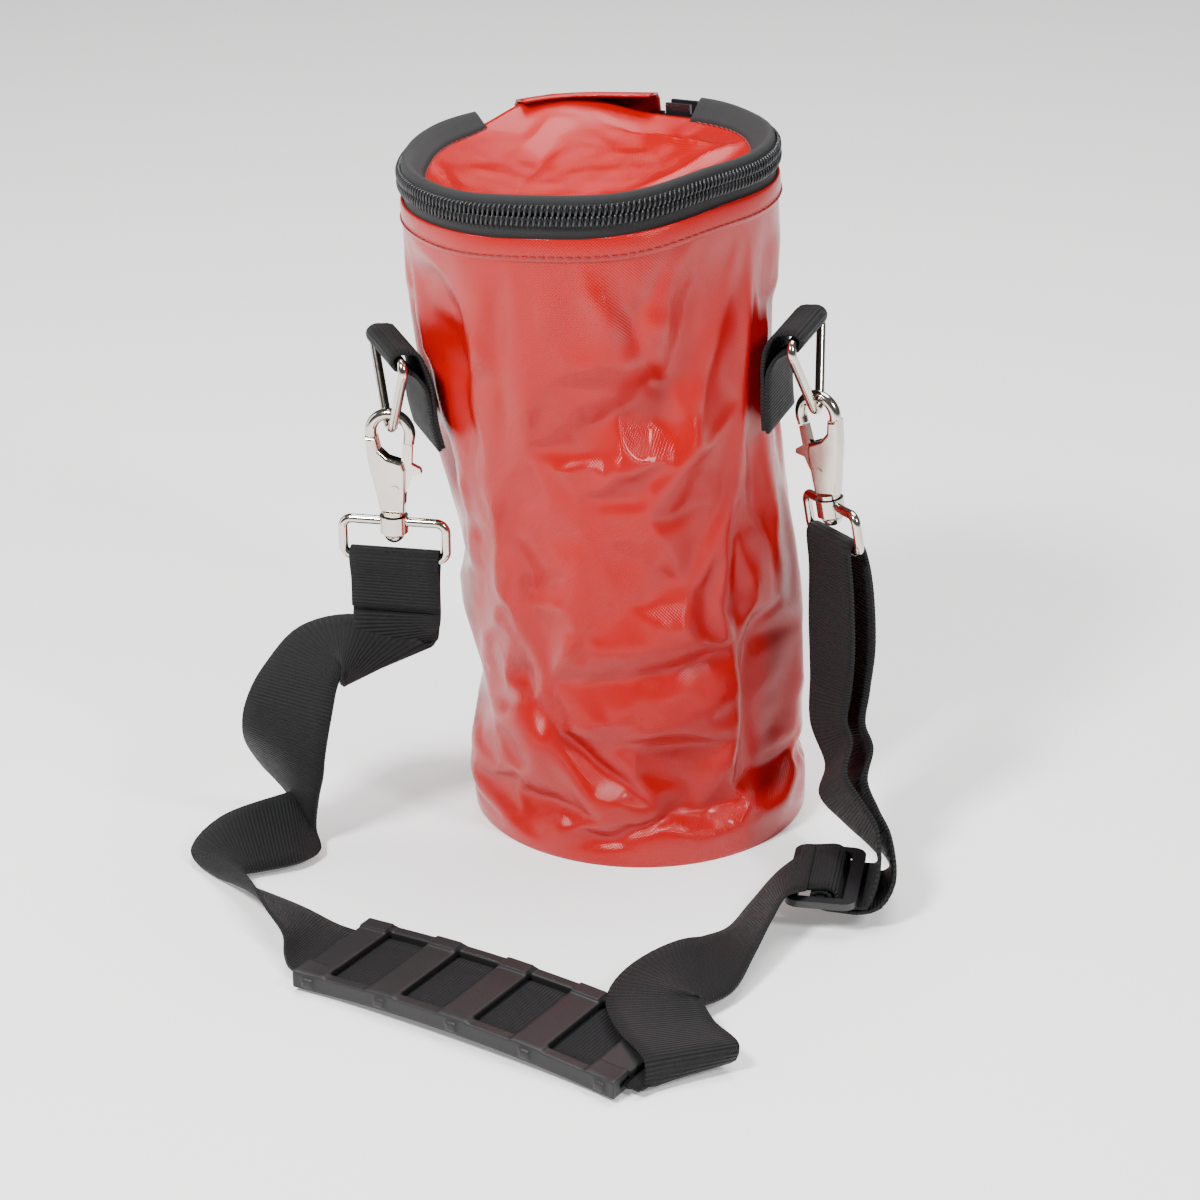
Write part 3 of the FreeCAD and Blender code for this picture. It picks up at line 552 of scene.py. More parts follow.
def wall_point(angle, share, grown=0.0, dented=True):
    """A point of the wall's outside, at an angle in degrees and a share of its height."""
    height = share * WALL_HEIGHT / MM
    x, y, radius = outline_at(height)
    radius += grown
    if dented:
        free = smooth(height / 16) * smooth((WALL_HEIGHT / MM - height) / 34)
        near = Vector((math.cos(math.radians(angle)), math.sin(math.radians(angle)), height / 60))
        ripple = noise.noise(near * 2.1) * 2.4 + noise.noise(near * 5.3 + Vector((3, 1, 7))) * 1.1
        radius += FACET_DEPTH * free * (flattened(angle, height, radius) - radius)
        radius -= free * (dent(angle, height) + ripple)
        radius -= MOUTH_PULL * pulled_in(angle) * smooth((share - 0.8) / 0.2)
    turn = math.radians(angle)
    flat = Vector((x + radius * math.cos(turn), y + radius * math.sin(turn), height)) * MM
    # Towards the top the level sections turn into the mouth's own leaning plane.
    lean = smooth((share - 0.72) / 0.28)
    slope = MOUTH.to_3x3() @ Vector((1, 0, 0))
    flat.z += lean * (flat.x - CENTRE.x) * slope.z / slope.x
    if dented:
        flat.z += lean * MOUTH_LIFT * MM * pulled_in(angle)
    return flat


def relaxed(wall, columns, rows):
    """Lets the slack cloth settle between its sewn base and mouth, then keeps the result."""
    slack = sizes().fabric_slack
    wall.shape_key_add(name="Basis")
    flat = wall.shape_key_add(name="cut size")
    for index, vertex in enumerate(wall.data.vertices):
        share = (index // columns) / (rows - 1)
        point = vertex.co.copy()
        middle = Vector((CENTRE.x, CENTRE.y, 0)) * share
        middle.z = point.z
        grown = middle + (point - middle) * (1 + slack * 0.6)
        grown.z = point.z * (1 + slack)
        flat.data[index].co = grown
    held = wall.vertex_groups.new(name="sewn")
    for index in range(len(wall.data.vertices)):
        row = index // columns
        if row < 3 or row > rows - 6:
            held.add([index], 1.0, "REPLACE")
    start = [vertex.co.copy() for vertex in wall.data.vertices]
    modifier = wall.modifiers.new("cloth", "CLOTH")
    cloth = modifier.settings
    cloth.quality = 6
    cloth.mass = 0.25
    cloth.tension_stiffness = cloth.compression_stiffness = 30
    cloth.shear_stiffness = 18
    cloth.bending_stiffness = 8.0
    cloth.air_damping = 3
    cloth.vertex_group_mass = "sewn"
    cloth.rest_shape_key = flat
    cloth.effector_weights.gravity = 0.15
    scene = bpy.context.scene
    for step in range(1, 23):
        scene.frame_set(step)
    done = wall.evaluated_get(bpy.context.evaluated_depsgraph_get())
    moved = [vertex.co.copy() for vertex in done.data.vertices]
    wall.modifiers.clear()
    wall.shape_key_clear()
    limit = 7.0 * MM
    for vertex, before, after in zip(wall.data.vertices, start, moved):
        shift = after - before
        if shift.length > limit:
            shift *= limit / shift.length
        vertex.co = before + shift
        vertex.co.z = max(vertex.co.z, before.z if before.z < 2 * MM else 0.8 * MM)
    scene.frame_set(1)


def build_wall():
    """The coated-fabric wall."""
    columns = sizes().around
    rows = 108
    girth = 2 * math.pi * 76 * MM
    shares = [i / (rows - 1) for i in range(rows)]
    grid = [[wall_point(360 * j / columns, share) for j in range(columns)] for share in shares]
    wall = skin(
        "bag_wall_fabric",
        grid,
        coated_fabric(),
        wrap=True,
        u_of=lambda j: j / columns * girth,
        v_of=lambda i: i / (rows - 1) * WALL_HEIGHT,
    )
    relaxed(wall, columns, rows)
    thickened(wall, sizes().wall_thickness, -1.0, rounding=1)
    wall.data.shade_smooth()
    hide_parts("bag_wall")
    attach(wall, "bag")
    return wall


def pulled_in(angle):
    """How far the slack front right of the mouth is pulled inwards, from 0 to 1."""
    away = (angle + 44 + 180) % 360 - 180
    return math.exp(-(away / 27) ** 2)


def on_mouth(angle, radius, height, slack=1.0):
    """A point in the mouth's frame, in millimetres and degrees, with the slack rim's wobble."""
    turn = math.radians(angle)
    wobble = 0.5 * math.sin(3 * turn + 0.6) + 0.35 * math.sin(7 * turn + 2.0)
    radius -= MOUTH_PULL * pulled_in(angle) * slack
    height += (wobble + MOUTH_LIFT * pulled_in(angle)) * slack
    return MOUTH @ (Vector((radius * math.cos(turn), radius * math.sin(turn), height)) * MM)


def mouth_band(name, profile, start, turn, material, thickness=0.0, per_degree=0.6):
    """Sweeps a profile of radius and height pairs round the mouth."""
    count = int(turn * per_degree) + 1
    closed = turn >= 360
    total = count if closed else count + 1
    along = [start + turn * i / count for i in range(total)]
    rows = [[on_mouth(angle, radius, height) for angle in along] for radius, height in profile]
    distance = [0.0]
    for (r0, z0), (r1, z1) in zip(profile, profile[1:]):
        distance.append(distance[-1] + math.hypot(r1 - r0, z1 - z0) * MM)
    arc = math.radians(turn) * 77 * MM
    band = skin(
        name, rows, material, wrap=closed, u_of=lambda j: j / count * arc, v_of=lambda i: distance[i]
    )
    if thickness:
        thickened(band, thickness, 0.0)
    return band


def ride_as(obj, body, slot_name, *nodes):
    """Gives a piece its body and hides the CAD nodes that it stands for; its slot name is not used."""
    if nodes:
        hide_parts(*nodes)
    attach(obj, body)
    return obj


def build_hem():
    """The wall's turned-over top edge and its row of stitches."""
    fabric = coated_fabric()
    profile = (
        (78.1, -9.6), (78.5, -9.0), (78.6, -5.0), (78.5, -1.2), (78.2, -0.2), (77.4, -0.3), (77.1, -3.0),
    )
    hem = mouth_band("turned_hem", profile, 0, 360, fabric, per_degree=1.0)
    ride_as(hem, "bag", "red_pvc")
    seam_angles = [360 * i / 400 for i in range(401)]
    points = [on_mouth(angle, 78.6, -7.6) for angle in seam_angles]
    normals = [(point - MOUTH @ Vector((0, 0, -7.6 * MM))).normalized() for point in points]
    row = stitched_line("hem_stitches", points, normals, sewing_thread(), sizes().stitch_pitch)
    ride_as(row, "bag", "red_pvc")


def build_base():
    """The round base panel, welded inside the foot of the wall, with its turned seam allowance."""
    rows = []
    steps = ((0.5, 0.4), (20, 0.4), (50, 0.45), (66, 0.4), (69.5, 0.5), (70.8, 1.4), (71.0, 5.0), (70.8, 9.0))
    count = 160
    for radius, height in steps:
        row = []
        for j in range(count):
            turn = 2 * math.pi * j / count
            row.append(Vector((radius * math.cos(turn), radius * math.sin(turn), height)) * MM)
        rows.append(row)
    panel = skin(
        "base_panel_fabric",
        rows,
        coated_fabric(),
        wrap=True,
        u_of=lambda j: j / count * 0.46,
        v_of=lambda i: steps[i][0] * MM,
    )
    thickened(panel, 0.8 * MM, 1.0)
    ride_as(panel, "bag", "red_pvc", "base_panel")


# ---------------------------------------------------------------- zip

CHAIN_START, CHAIN_TURN = 130.0, 280.0
HINGE_START, HINGE_TURN = 68.0, 44.0


def coil_half(name, middle, phase):
    """One half of the zip's nylon coil, wound round the mouth; the two halves' turns interlock."""
    pitch = sizes().coil_pitch
    radius = 77.9
    turns = int(math.radians(CHAIN_TURN) * radius * MM / pitch)
    per_turn = 10
    path = []
    for step in range(turns * per_turn + 1):
        share = step / (turns * per_turn)
        angle = CHAIN_START + CHAIN_TURN * share
        wind = 2 * math.pi * (step / per_turn + phase)
        # A flattened oval turn: tall against the tape, narrow across it.
        out = 1.0 * math.cos(wind)
        rise = 2.15 * math.sin(wind)
        path.append(on_mouth(angle, radius + out, middle + rise))
    verts, faces = tube(path, sizes().coil_wire, 6)
    return piece_from(name, verts, faces, drawn_nylon(), smooth_angle=80.0)


def upper_tape(material):
    """The upper tape: upright against the coil, rolled over at the rim and sewn under the lid's edge."""
    count = 280
    rows = [[] for _ in range(9)]
    for i in range(count + 1):
        angle = CHAIN_START + CHAIN_TURN * i / count
        radius, height = lid_edge(angle)
        top = 16.4
        section = [(76.4, 9.9), (76.5, 12.0), (76.5, 14.2), (76.0, 15.8), (75.0, top), (73.8, top - 0.5)]
        last_radius, last_height = section[-1]
        for share in (0.35, 0.7, 1.0):
            section.append(
                (
                    last_radius + (radius - 3.0 - last_radius) * share,
                    last_height + (height - 0.9 - last_height) * share,
                )
            )
        for row, (r, z) in zip(rows, section):
            row.append(on_mouth(angle, r, z))
    arc = math.radians(CHAIN_TURN) * 77 * MM
    band = skin(
        "zip_tape_upper_cloth",
        rows,
        material,
        u_of=lambda j: j / count * arc,
        v_of=lambda i: i * 2.2 * MM,
        smooth_angle=70.0,
    )
    return thickened(band, 0.7 * MM, 0.0)


def build_zip():
    """Both tapes, both halves of the coil and the thread beds the coil lies against."""
    tape = woven_tape()
    low_profile = ((76.2, -8.6), (76.3, -4.0), (76.5, 0.0), (76.5, 4.0), (76.4, 8.4))
    lower = mouth_band("zip_tape_lower_cloth", low_profile, 0, 360, tape, 0.7 * MM, 1.0)
    ride_as(lower, "bag", "zip_tape", "zip_tape_lower")
    upper = upper_tape(tape)
    ride_as(upper, "lid", "zip_tape", "zip_tape_upper")
    ride_as(coil_half("coil_lower_turns", 7.1, 0.0), "bag", "zip_coil", "zip_coil_lower")
    ride_as(coil_half("coil_upper_turns", 11.1, 0.5), "lid", "zip_coil", "zip_coil_upper")
    # The sewn core: the thread bed on the tape's face that the coil lies against.
    for name, low, high, body in (("coil_bed_lower", 4.6, 8.2, "bag"), ("coil_bed_upper", 10.2, 13.8, "lid")):
        profile = ((76.7, low), (77.3, (low + high) / 2), (76.7, high))
        bed = mouth_band(name, profile, CHAIN_START, CHAIN_TURN, tape)
        ride_as(bed, body, "zip_tape")


# ---------------------------------------------------------------- lid


LID_LEVEL = 11.0  # the lid's mean height above the hem, before it sags


def lid_edge(angle):
    """Radius and height of the lid's sewn edge: close to the rim in front, inside it at the sides."""
    turn = math.radians(angle)
    front = smooth((-math.sin(turn) + 0.2) / 0.9)
    crown = math.exp(-(((angle - 104 + 180) % 360 - 180) / 24) ** 2)
    radius = 69.0 + 4.6 * front + 4.0 * crown
    height = 9.5 + 4.0 * front + 8.5 * crown + 0.7 * math.sin(5 * turn)
    return radius, height


def lid_point(angle, share):
    """A point of the slack lid, which hangs in the mouth like a shallow bowl with folds."""
    edge_radius, edge_height = lid_edge(angle)
    radius = edge_radius * share
    turn = math.radians(angle)
    x, y = radius * math.cos(turn), radius * math.sin(turn)
    free = 1 - share ** 6
    deep = 10.0 + 7.0 * smooth((20 - y) / 60)
    height = LID_LEVEL + (edge_height - LID_LEVEL) * share ** 2 - deep * (1 - share ** 2.6)
    folds = (
        (34, 34, 40, 4.0, 5.0, -44), (20, 52, 26, 5.0, -4.0, -60), (46, 2, 34, 6.0, 4.5, 62),
        (54, -16, 22, 5.0, -3.0, 50), (-58, -6, 26, 4.0, 4.0, -16), (-48, -22, 20, 5.0, -3.0, -30),
        (-26, 10, 40, 12.0, -2.5, 20), (8, -24, 46, 10.0, 2.0, 80), (-20, 50, 30, 8.0, 2.2, 30),
    )
    for fx, fy, length, width, rise, lean in folds:
        a = math.radians(lean)
        run = ((x - fx) * math.sin(a) + (y - fy) * math.cos(a)) / length
        cut = ((x - fx) * math.cos(a) - (y - fy) * math.sin(a)) / width
        height += free * rise * math.exp(-run * run * 2) * math.exp(-abs(cut) * 1.3)
    near = Vector((x, y, 4.0)) / 24
    height += free * (1.4 * noise.noise(near) + 0.6 * noise.noise(near * 2.7))
    return on_mouth(angle, radius, height, share ** 2)


def build_lid():
    """The crumpled round lid panel, the row of stitches at its edge and the strip it hinges on."""
    fabric = coated_fabric()
    count, rings = 176, 46
    rows = []
    for ring in range(rings):
        share = max(ring / (rings - 1), 0.004)
        rows.append([lid_point(360 * j / count, share) for j in range(count)])
    # Flat cloth coordinates, so the scrim runs straight across the lid.
    faces, uvs = [], []

    def flat(ring, column):
        radius = 69.5 * MM * ring / (rings - 1)
        turn = 2 * math.pi * column / count
        return (radius * math.cos(turn), radius * math.sin(turn))

    for i in range(rings - 1):
        for j in range(count):
            k = (j + 1) % count
            faces.append((i * count + j, i * count + k, (i + 1) * count + k, (i + 1) * count + j))
            uvs += [flat(i, j), flat(i, j + 1), flat(i + 1, j + 1), flat(i + 1, j)]
    faces.append(tuple(reversed(range(count))))
    uvs += [flat(0, column) for column in reversed(range(count))]
    lid = piece_from("lid_fabric", [p for row in rows for p in row], faces, fabric, uvs, 50.0)
    thickened(lid, sizes().wall_thickness, 0.0)
    ride_as(lid, "lid", "red_pvc", "lid_panel")
    points = [lid_point(CHAIN_START + CHAIN_TURN * i / 400, 0.955) for i in range(401)]
    lift = MOUTH.to_3x3() @ UP
    points = [point + lift * 0.5 * MM for point in points]
    normals = [lift] * len(points)
    row = stitched_line("lid_stitches", points, normals, sewing_thread(), sizes().stitch_pitch)
    ride_as(row, "lid", "red_pvc")
    profile = (
        (78.4, -8.0), (78.6, 0.4), (78.6, 8.0), (78.6, 9.6), (78.2, 14.4), (76.0, 17.2), (72.0, 18.2),
        (66.0, 18.6),
    )
    strip = mouth_band("hinge_strip_fabric", profile, HINGE_START - 1, HINGE_TURN + 3, fabric, 1.0 * MM)
    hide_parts("lid_hinge_strip")
    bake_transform(strip)


# ---------------------------------------------------------------- webbing


def curve_through(points, steps_of):
    """A centripetal curve through given stations, each a tuple of vectors."""
    padded = [points[0]] + list(points) + [points[-1]]
    made = [points[0]]
    for index in range(len(points) - 1):
        before, start, end, after = padded[index : index + 4]
        pairs = ((before, start), (start, end), (end, after))
        gap = [max((b[0] - a[0]).length, 1e-5) ** 0.5 for a, b in pairs]
        steps = steps_of(start[0], end[0])
        for step in range(1, steps + 1):
            t = step / steps
            mixed = []
            for p0, p1, p2, p3 in zip(before, start, end, after):
                m1 = (p2 - p1) - gap[1] * ((p2 - p0) / (gap[0] + gap[1]) - (p1 - p0) / gap[0] * (index > 0))
                m2 = (p2 - p1) + gap[1] * (
                    (p3 - p2) / gap[2] * (index < len(points) - 2) - (p3 - p1) / (gap[1] + gap[2])
                )
                if index == 0:
                    m1 = p2 - p1
                if index == len(points) - 2:
                    m2 = p2 - p1
                h = (
                    2 * t ** 3 - 3 * t ** 2 + 1,
                    t ** 3 - 2 * t ** 2 + t,
                    -2 * t ** 3 + 3 * t ** 2,
                    t ** 3 - t ** 2,
                )
                mixed.append(p1 * h[0] + m1 * h[1] + p2 * h[2] + m2 * h[3])
            made.append(tuple(mixed))
    return made


def webbing_strip(name, stations, thickness=None):
    """Ribbed webbing of constant width through stations of centre and half-width vectors."""
    half = sizes().webbing_width / 2
    thick = thickness or sizes().webbing_thickness
    path = curve_through(stations, lambda a, b: max(2, int((b - a).length / (2.2 * MM))))
    rows, lengths = [], [0.0]
    across_count = 7
    for index, (centre, across) in enumerate(path):
        if index:
            lengths.append(lengths[-1] + (centre - path[index - 1][0]).length)
        side = across.normalized() * half
        rows.append([centre + side * (2 * k / (across_count - 1) - 1) for k in range(across_count)])
    strip = skin(
        name,
        rows,
        ribbed_webbing(),
        u_of=lambda j: j / (across_count - 1) * 2 * half,
        v_of=lambda i: lengths[i],
        smooth_angle=60.0,
    )
    # The cloth runs lengthways along U, so the ribs lie across it.
    for loop in strip.data.uv_layers["cloth"].data:
        loop.uv = (loop.uv[1], loop.uv[0])
    thickened(strip, thick, 0.0)
    return strip, lengths[-1]


def placed(frame_matrix, profile, half=19.0, rise=0.0):
    """Stations whose centres are X-Z pairs in a frame, in millimetres, with the width along its Y."""
    across = frame_matrix.to_3x3() @ Vector((0, half * MM, 0))
    return [(frame_matrix @ (Vector((x, rise, z)) * MM), across.copy()) for x, z in profile]


def routed(route):
    return [(Vector(centre) * MM, Vector(half).normalized() * 19 * MM) for centre, half in route]


def bar_frame(side):
    """On the swivel loop's lower bar: Y along the bar, Z up the loop."""
    joint = JOINTS["strap_swing_" + side]
    along = Vector(joint["axis"])
    up = Vector(JOINTS["swivel_turn_" + side]["axis"]).normalized()
    if up.z < 0:
        up.negate()
    if side == "left" and along.x > 0 or side == "right" and along.y > 0:
        along.negate()
    out = along.cross(up).normalized()
    made = Matrix((out, along, up)).transposed().to_4x4()
    made.translation = Vector(joint["pos_m"])
    return made


PAD_LOW, PAD_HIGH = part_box("shoulder_pad")
PAD_TURN = math.radians(-32.9)
PAD_FRAME = Matrix.Translation(((PAD_LOW.x + PAD_HIGH.x) / 2, (PAD_LOW.y + PAD_HIGH.y) / 2, 0))
PAD_FRAME = PAD_FRAME @ Matrix.Rotation(PAD_TURN, 4, "Z")
GLIDE_LOW, GLIDE_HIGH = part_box("strap_adjuster")
GLIDE_FRAME = Matrix.Translation((GLIDE_LOW + GLIDE_HIGH) / 2) @ Matrix.Rotation(math.radians(-10.0), 4, "Z")

# Route of the hanging and lying webbing: centre, then half-width vector, in millimetres.
FALL = (
    ((-105, -37, 93), (19, -1, 3)),
    ((-106, -39, 84), (18, 4, 5)),
    ((-109, -46, 83), (17, 7, 6)),
    ((-122, -44, 90), (5, 17, 7)),
    ((-136, -38, 87), (-11, 15, 3)),
    ((-145, -47, 79), (-16, 10, 0)),
    ((-150, -57, 67), (-18, 5, 3)),
    ((-153, -55, 50), (-18, 3, 7)),
    ((-153, -45, 29), (-14, 12, 3)),
    ((-150, -40, 13), (-9, 16, 4)),
    ((-143, -47, 10), (-5, 17, 6)),
    ((-149, -59, 12), (-4, 17, 8)),
    ((-175, -70, 9), (-7, 17, 4)),
    ((-181, -79, 8), (-12, 14, -3)),
    ((-172, -98, 8), (-10, 15, -6)),
    ((-157, -116, 8), (-3, 18, -6)),
    ((-144, -130, 6), (2, 18, -4)),
    ((-137, -141, 4), (8, 17, -2)),
)
RISE = (
    ((15, -243, 4), (17, 9, 0)),
    ((17, -241, 11), (18, 6, 0)),
    ((7, -219, 11), (19, 3, 0)),
    ((3, -203, 12.5), (18, -3, 2)),
    ((6, -192, 14), (13, -13, 2)),
    ((17, -182, 12), (4, -18, -4)),
    ((29, -168, 8), (5, -18, -2)),
    ((39, -150, 8), (4, -18, 4)),
    ((48, -132, 12), (3, -17, 6)),
    ((58, -117, 17), (0, -17, 4)),
    ((70, -108, 19), (-3, -18, 0)),
)
SEWN_END = (
    (-1.1, -23.0), (-1.1, -10.0), (-3.5, 0.0), (-2.5, 2.5), (0.0, 3.5),
    (2.5, 2.5), (3.5, 0.0), (1.1, -10.0), (1.1, -25.0),
)
GLIDE_WRAP = (
    (3.8, -1.6), (3.8, 1.1), (2.4, 2.7), (-2.4, 2.7), (-3.8, 1.1), (-3.8, -1.1),
    (-2.4, -2.8), (1.0, -4.5), (8.0, -5.1), (17.0, -5.1),
)
GLIDE_RUN = (
    (19.0, -2.4), (16.0, -2.7), (9.6, -2.7), (7.2, -0.6), (6.2, 3.0), (3.4, 5.0),
    (-4.0, 4.4), (-12.0, 3.4),
)
OUTER_PLY = (
    ((99, -109, 9), (2, 19, -2)),
    ((104, -105, 14), (1, 18, -6)),
    ((102, -96, 23), (0, 15, -11)),
    ((95, -86, 30), (-2, 14, -12)),
    ((89, -75, 38), (-4, 14, -12)),
    ((92, -64, 47), (-4, 14, -12)),
    ((87, -54, 59), (-6, 16, -8)),
    ((88, -46, 75), (-7, 17, -4)),
    ((89, -42, 98), (-8, 17, -1)),
)
INNER_PLY = (
    ((80, -46, 98), (-8, 17, -1)),
    ((80, -50, 77), (-7, 17, -4)),
    ((79, -58, 62), (-6, 16, -8)),
    ((83, -68, 52), (-4, 14, -12)),
    ((80, -79, 43), (-4, 14, -12)),
    ((88, -91, 36), (-2, 14, -12)),
    ((96, -101, 29), (0, 15, -11)),
    ((98, -108, 19), (2, 18, -5)),
)
ROUND_BAR = (
    (4.6, -14.0), (3.5, 0.0), (2.5, 2.5), (0.0, 3.5), (-2.5, 2.5), (-3.5, 0.0), (-4.6, -14.0),
)


def aligned(stations, following):
    """Turns a run's half-width vectors to point the way the next run's do."""
    if stations[-1][1].dot(following[0][1]) < 0:
        return [(centre, -across) for centre, across in stations]
    return stations


def pad_rise(x):
    return sizes().pad_arch / MM * (1 - (x / 76) ** 2) if abs(x) < 76 else 0.0


def build_straps():
    """The left and right halves of the shoulder strap."""
    fall = routed(FALL)
    rise = routed(RISE)
    run = placed(PAD_FRAME, [(x, 4.0 + pad_rise(x)) for x in (-83, -60, -30, 0, 30, 60, 81)])
    sewn = aligned(placed(bar_frame("left"), SEWN_END), fall)
    left, length = webbing_strip("shoulder_strap_webbing", sewn + fall + run + rise)
    ride_as(left, "strap_left", "webbing", "shoulder_strap")
    outer, inner = routed(OUTER_PLY), routed(INNER_PLY)
    wrap = aligned(placed(GLIDE_FRAME, GLIDE_WRAP), outer)
    over = placed(bar_frame("right"), ROUND_BAR)
    if over[0][1].dot(outer[-1][1]) < 0:
        over = [(centre, -across) for centre, across in over]
    if (over[0][0] - outer[-1][0]).length > (over[-1][0] - outer[-1][0]).length:
        over.reverse()
    run = placed(GLIDE_FRAME, GLIDE_RUN)
    if run[0][1].dot(inner[-1][1]) < 0:
        run = [(centre, -across) for centre, across in run]
    right, length = webbing_strip("adjuster_strap_webbing", wrap + outer + over + inner + run)
    ride_as(right, "strap_right", "webbing", "adjuster_strap")


def build_tabs():
    """The two webbing tabs: a loop round each ring's bar whose ends are sewn down the wall together."""
    for side, outward_angle in (("left", 199.0), ("right", -19.0)):
        joint = JOINTS["ring_swing_" + side]
        bar = Vector(joint["pos_m"])
        along = Vector(joint["axis"]).normalized()
        outward = Vector((math.cos(math.radians(outward_angle)), math.sin(math.radians(outward_angle)), 0))

        def on_wall(drop, proud):
            share = (bar.z - drop * MM) / WALL_HEIGHT
            return wall_point(outward_angle, share, grown=proud, dented=False)

        def near_bar(out, rise):
            return bar + outward * out * MM + UP * rise * MM

        line = [on_wall(drop, 1.2) for drop in (40, 30, 20, 12)]
        line += [
            on_wall(4, 2.6), near_bar(-7.0, 2.6),
            near_bar(-2.6, 3.4), near_bar(0.6, 3.6), near_bar(3.1, 2.0),
        ]
        line += [near_bar(3.5, -0.4), near_bar(2.2, -2.9), near_bar(-1.4, -4.0), near_bar(-6.0, -6.6)]
        line += [on_wall(14, 3.6)] + [on_wall(drop, 2.9) for drop in (22, 31, 41)]
        stations = [(point, along * sizes().webbing_width / 2) for point in line]
        tab, length = webbing_strip("ring_tab_webbing_" + side, stations)
        ride_as(tab, "bag", "webbing", "ring_tab_" + side)


# ---------------------------------------------------------------- shoulder pad


def block(low, high):
    """Corner points and faces of a block."""
    verts = [
        Vector((x, y, z))
        for x in (low[0], high[0])
        for y in (low[1], high[1])
        for z in (low[2], high[2])
    ]
    faces = [(0, 1, 3, 2), (4, 6, 7, 5), (0, 4, 5, 1), (2, 3, 7, 6), (0, 2, 6, 4), (1, 5, 7, 3)]
    return verts, faces


def build_pad():
    """The moulded rubber pad: a tray with side rails and five stepped bridges, run together and softened."""
    length, width = 152.0, 50.0
    parts = [block((-76, -25, 0.3), (76, 25, 2.9))]
    for side in (-1, 1):
        low, high = sorted((side * 19.9, side * 25))
        parts.append(block((-76, low, 0.3), (76, high, 7.4)))
    step = (length - 14) / 4
    for number in range(5):
        middle = -length / 2 + 7 + number * step
        parts.append(block((middle - 7, -24.4, 5.5), (middle + 7, 24.4, 8.2)))
        # A raised lip on the far side of each bridge and a moulding notch's rim on the near side.
        parts.append(block((middle - 6.4, 16.5, 7.6), (middle + 6.4, 23.6, 9.4)))
        parts.append(block((middle - 2.2, -26.2, 2.2), (middle + 2.2, -24.2, 5.6)))
    verts, faces = joined(parts)
    pad = piece_from("shoulder_pad_moulding", verts, faces, moulded_rubber())
    # Millimetres are kept until the pieces have run together.
    remesh = pad.modifiers.new("run_together", "REMESH")
    remesh.mode = "VOXEL"
    remesh.voxel_size = 0.55
    soften = pad.modifiers.new("soften", "SMOOTH")
    soften.factor = 0.5
    soften.iterations = 3
    baked(pad)
    for vertex in pad.data.vertices:
        x, y, z = vertex.co
        share = abs(x) / 76
        z += pad_rise(x)
        # Towards the ends both sides spread outwards, the near side most, and the near side's two corners curl
        # outwards.
        y -= 2.2 * (1 if y < 0 else -0.3) * share ** 8
        z += 1.6 * share ** 10 * (1 if y < -16 else 0)
        vertex.co = PAD_FRAME @ (Vector((x, y, z)) * MM)
    pad.data.shade_smooth()
    pad.data.materials.clear()
    pad.data.materials.append(moulded_rubber())
    ride_as(pad, "pad", "pad_rubber", "shoulder_pad")


# ---------------------------------------------------------------- hardware


def finish_hardware():
    """Plates, paints and moulds the pieces whose CAD shape is the real one."""
    finishes = {
        "nickel": nickel_plate(),
        "spring_steel": spring_wire(),
        "zip_metal": black_enamel(),
        "black_plastic": moulded_nylon(),
    }
    for part in frame["record"]["subparts"]:
        made = finishes.get(part["material_slot"])
        if made is None:
            continue
        node = NODES[part["node"]]
        if not node.material_slots:
            node.data.materials.append(made)
        for material_slot in node.material_slots:
            material_slot.material = made


# ---------------------------------------------------------------- floor, light and camera


def softbox(name, place, aim, size, power):
    light = bpy.data.lights.new(name, "AREA")
    light.shape = "RECTANGLE"
    light.size, light.size_y = size
    light.energy = power
    obj = bpy.data.objects.new(name, light)
    obj.location = place
    obj.rotation_euler = (Vector(aim) - Vector(place)).to_track_quat("-Z", "Y").to_euler()
    bpy.context.scene.collection.objects.link(obj)


def build_stage():
    """A pale floor, soft studio light and the camera."""
    material, tree, shader = finish_named("studio_floor", "", Roughness=0.7, **{"Emission Strength": 0.26})
    if tree:
        pale = linear(colours().floor)
        shader.inputs["Emission Color"].default_value = pale
        tree.links.new(tint(tree, cloudy(tree, 2.0), shaded(pale, 0.98), pale), shader.inputs[0])
    side = 6.0
    corners = [(-side, -side, 0), (side, -side, 0), (side, side, 0), (-side, side, 0)]
    floor = piece_from("studio_floor", [Vector(c) for c in corners], [(0, 1, 2, 3)], material)
    world = bpy.data.worlds.new("studio")
    world.use_nodes = True
    back = world.node_tree.nodes["Background"]
    back.inputs["Color"].default_value = linear("#FFFFFF")
    back.inputs["Strength"].default_value = 0.12
    bpy.context.scene.world = world
    softbox("overhead", (0.2, 0.5, 2.0), (0, 0, 0), (1.5, 1.2), 56)
    softbox("key", (-0.7, -0.8, 1.3), (0, 0, 0.15), (0.3, 0.3), 40)
    softbox("fill", (0.9, -0.9, 1.1), (0, 0, 0.15), (0.16, 0.4), 16)
    softbox("side", (-1.5, 0.2, 0.6), (0, 0, 0.15), (0.5, 1.0), 6)
    data = bpy.data.cameras.new("camera")
    data.lens = 96.9
    data.sensor_width = 36
    camera = bpy.data.objects.new("camera", data)
    camera.location = (-0.018, -1.289, 0.667)
    camera.rotation_euler = (math.radians(65.98), 0, 0)
    bpy.context.scene.collection.objects.link(camera)
    bpy.context.scene.camera = camera


# ---------------------------------------------------------------- operators and panel


class ROPEBAG_OT_wall(bpy.types.Operator):
    """Makes the slack coated-fabric wall and its turned hem."""

    bl_idname = "rope_bag.wall"
    bl_label = "Bag Wall"

    def execute(self, context):
        build_wall()
        build_hem()
        return {"FINISHED"}


class ROPEBAG_OT_base(bpy.types.Operator):
    """Makes the round base panel."""

    bl_idname = "rope_bag.base"
    bl_label = "Base Panel"

    def execute(self, context):
        build_base()
        return {"FINISHED"}


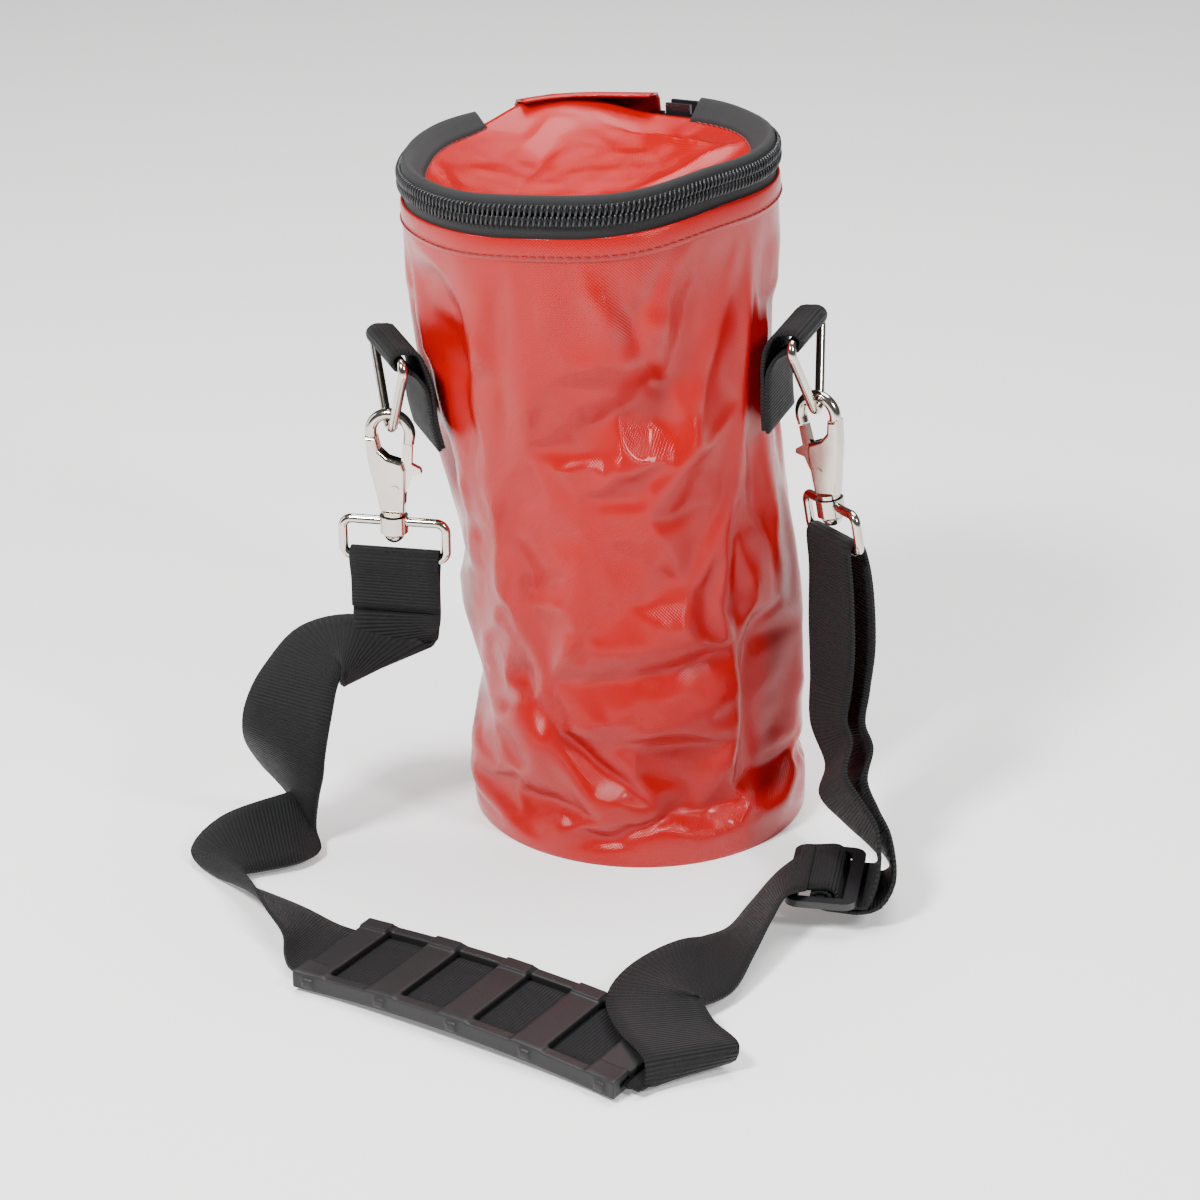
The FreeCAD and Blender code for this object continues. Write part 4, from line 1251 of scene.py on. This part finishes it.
class ROPEBAG_OT_zip(bpy.types.Operator):
    """Makes the zip's tapes and its two interlocking coils."""

    bl_idname = "rope_bag.zip"
    bl_label = "Zip"

    def execute(self, context):
        build_zip()
        return {"FINISHED"}


class ROPEBAG_OT_lid(bpy.types.Operator):
    """Makes the crumpled lid panel and the strip that it hinges on."""

    bl_idname = "rope_bag.lid"
    bl_label = "Lid"

    def execute(self, context):
        build_lid()
        return {"FINISHED"}


class ROPEBAG_OT_tabs(bpy.types.Operator):
    """Makes the two webbing tabs that hold the rings."""

    bl_idname = "rope_bag.tabs"
    bl_label = "Ring Tabs"

    def execute(self, context):
        build_tabs()
        return {"FINISHED"}


class ROPEBAG_OT_straps(bpy.types.Operator):
    """Makes both halves of the ribbed webbing strap."""

    bl_idname = "rope_bag.straps"
    bl_label = "Shoulder Strap"

    def execute(self, context):
        build_straps()
        return {"FINISHED"}


class ROPEBAG_OT_pad(bpy.types.Operator):
    """Makes the moulded rubber shoulder pad."""

    bl_idname = "rope_bag.pad"
    bl_label = "Shoulder Pad"

    def execute(self, context):
        build_pad()
        return {"FINISHED"}


class ROPEBAG_OT_hardware(bpy.types.Operator):
    """Finishes the rings, hooks, swivel loops, slider and adjuster."""

    bl_idname = "rope_bag.hardware"
    bl_label = "Hardware Finishes"

    def execute(self, context):
        finish_hardware()
        return {"FINISHED"}


class ROPEBAG_OT_stage(bpy.types.Operator):
    """Makes the floor, the lights and the camera."""

    bl_idname = "rope_bag.stage"
    bl_label = "Studio"

    def execute(self, context):
        build_stage()
        return {"FINISHED"}


class ROPEBAG_PT_panel(bpy.types.Panel):
    """Sizes, colours and the steps that build the bag."""

    bl_idname = "ROPEBAG_PT_panel"
    bl_label = "Rope Bag"
    bl_space_type = "VIEW_3D"
    bl_region_type = "UI"
    bl_category = "Rope Bag"

    def draw(self, context):
        layout = self.layout
        for group in (context.scene.rope_bag_sizes, context.scene.rope_bag_colours):
            box = layout.box()
            for name in group.__annotations__:
                box.prop(group, name)
        for step in STEPS:
            layout.operator(step.bl_idname)


STEPS = (
    ROPEBAG_OT_wall,
    ROPEBAG_OT_base,
    ROPEBAG_OT_zip,
    ROPEBAG_OT_lid,
    ROPEBAG_OT_tabs,
    ROPEBAG_OT_straps,
    ROPEBAG_OT_pad,
    ROPEBAG_OT_hardware,
    ROPEBAG_OT_stage,
)
CLASSES = (RopeBagSizes, RopeBagColours) + STEPS + (ROPEBAG_PT_panel,)


def register():
    for one in CLASSES:
        bpy.utils.register_class(one)
    bpy.types.Scene.rope_bag_sizes = PointerProperty(type=RopeBagSizes)
    bpy.types.Scene.rope_bag_colours = PointerProperty(type=RopeBagColours)


def unregister():
    del bpy.types.Scene.rope_bag_colours
    del bpy.types.Scene.rope_bag_sizes
    for one in reversed(CLASSES):
        bpy.utils.unregister_class(one)


def main():
    """Builds every piece round the frame."""
    register()
    for step in STEPS:
        group, name = step.bl_idname.split(".")
        getattr(getattr(bpy.ops, group), name)()


if __name__ == "__main__":
    main()
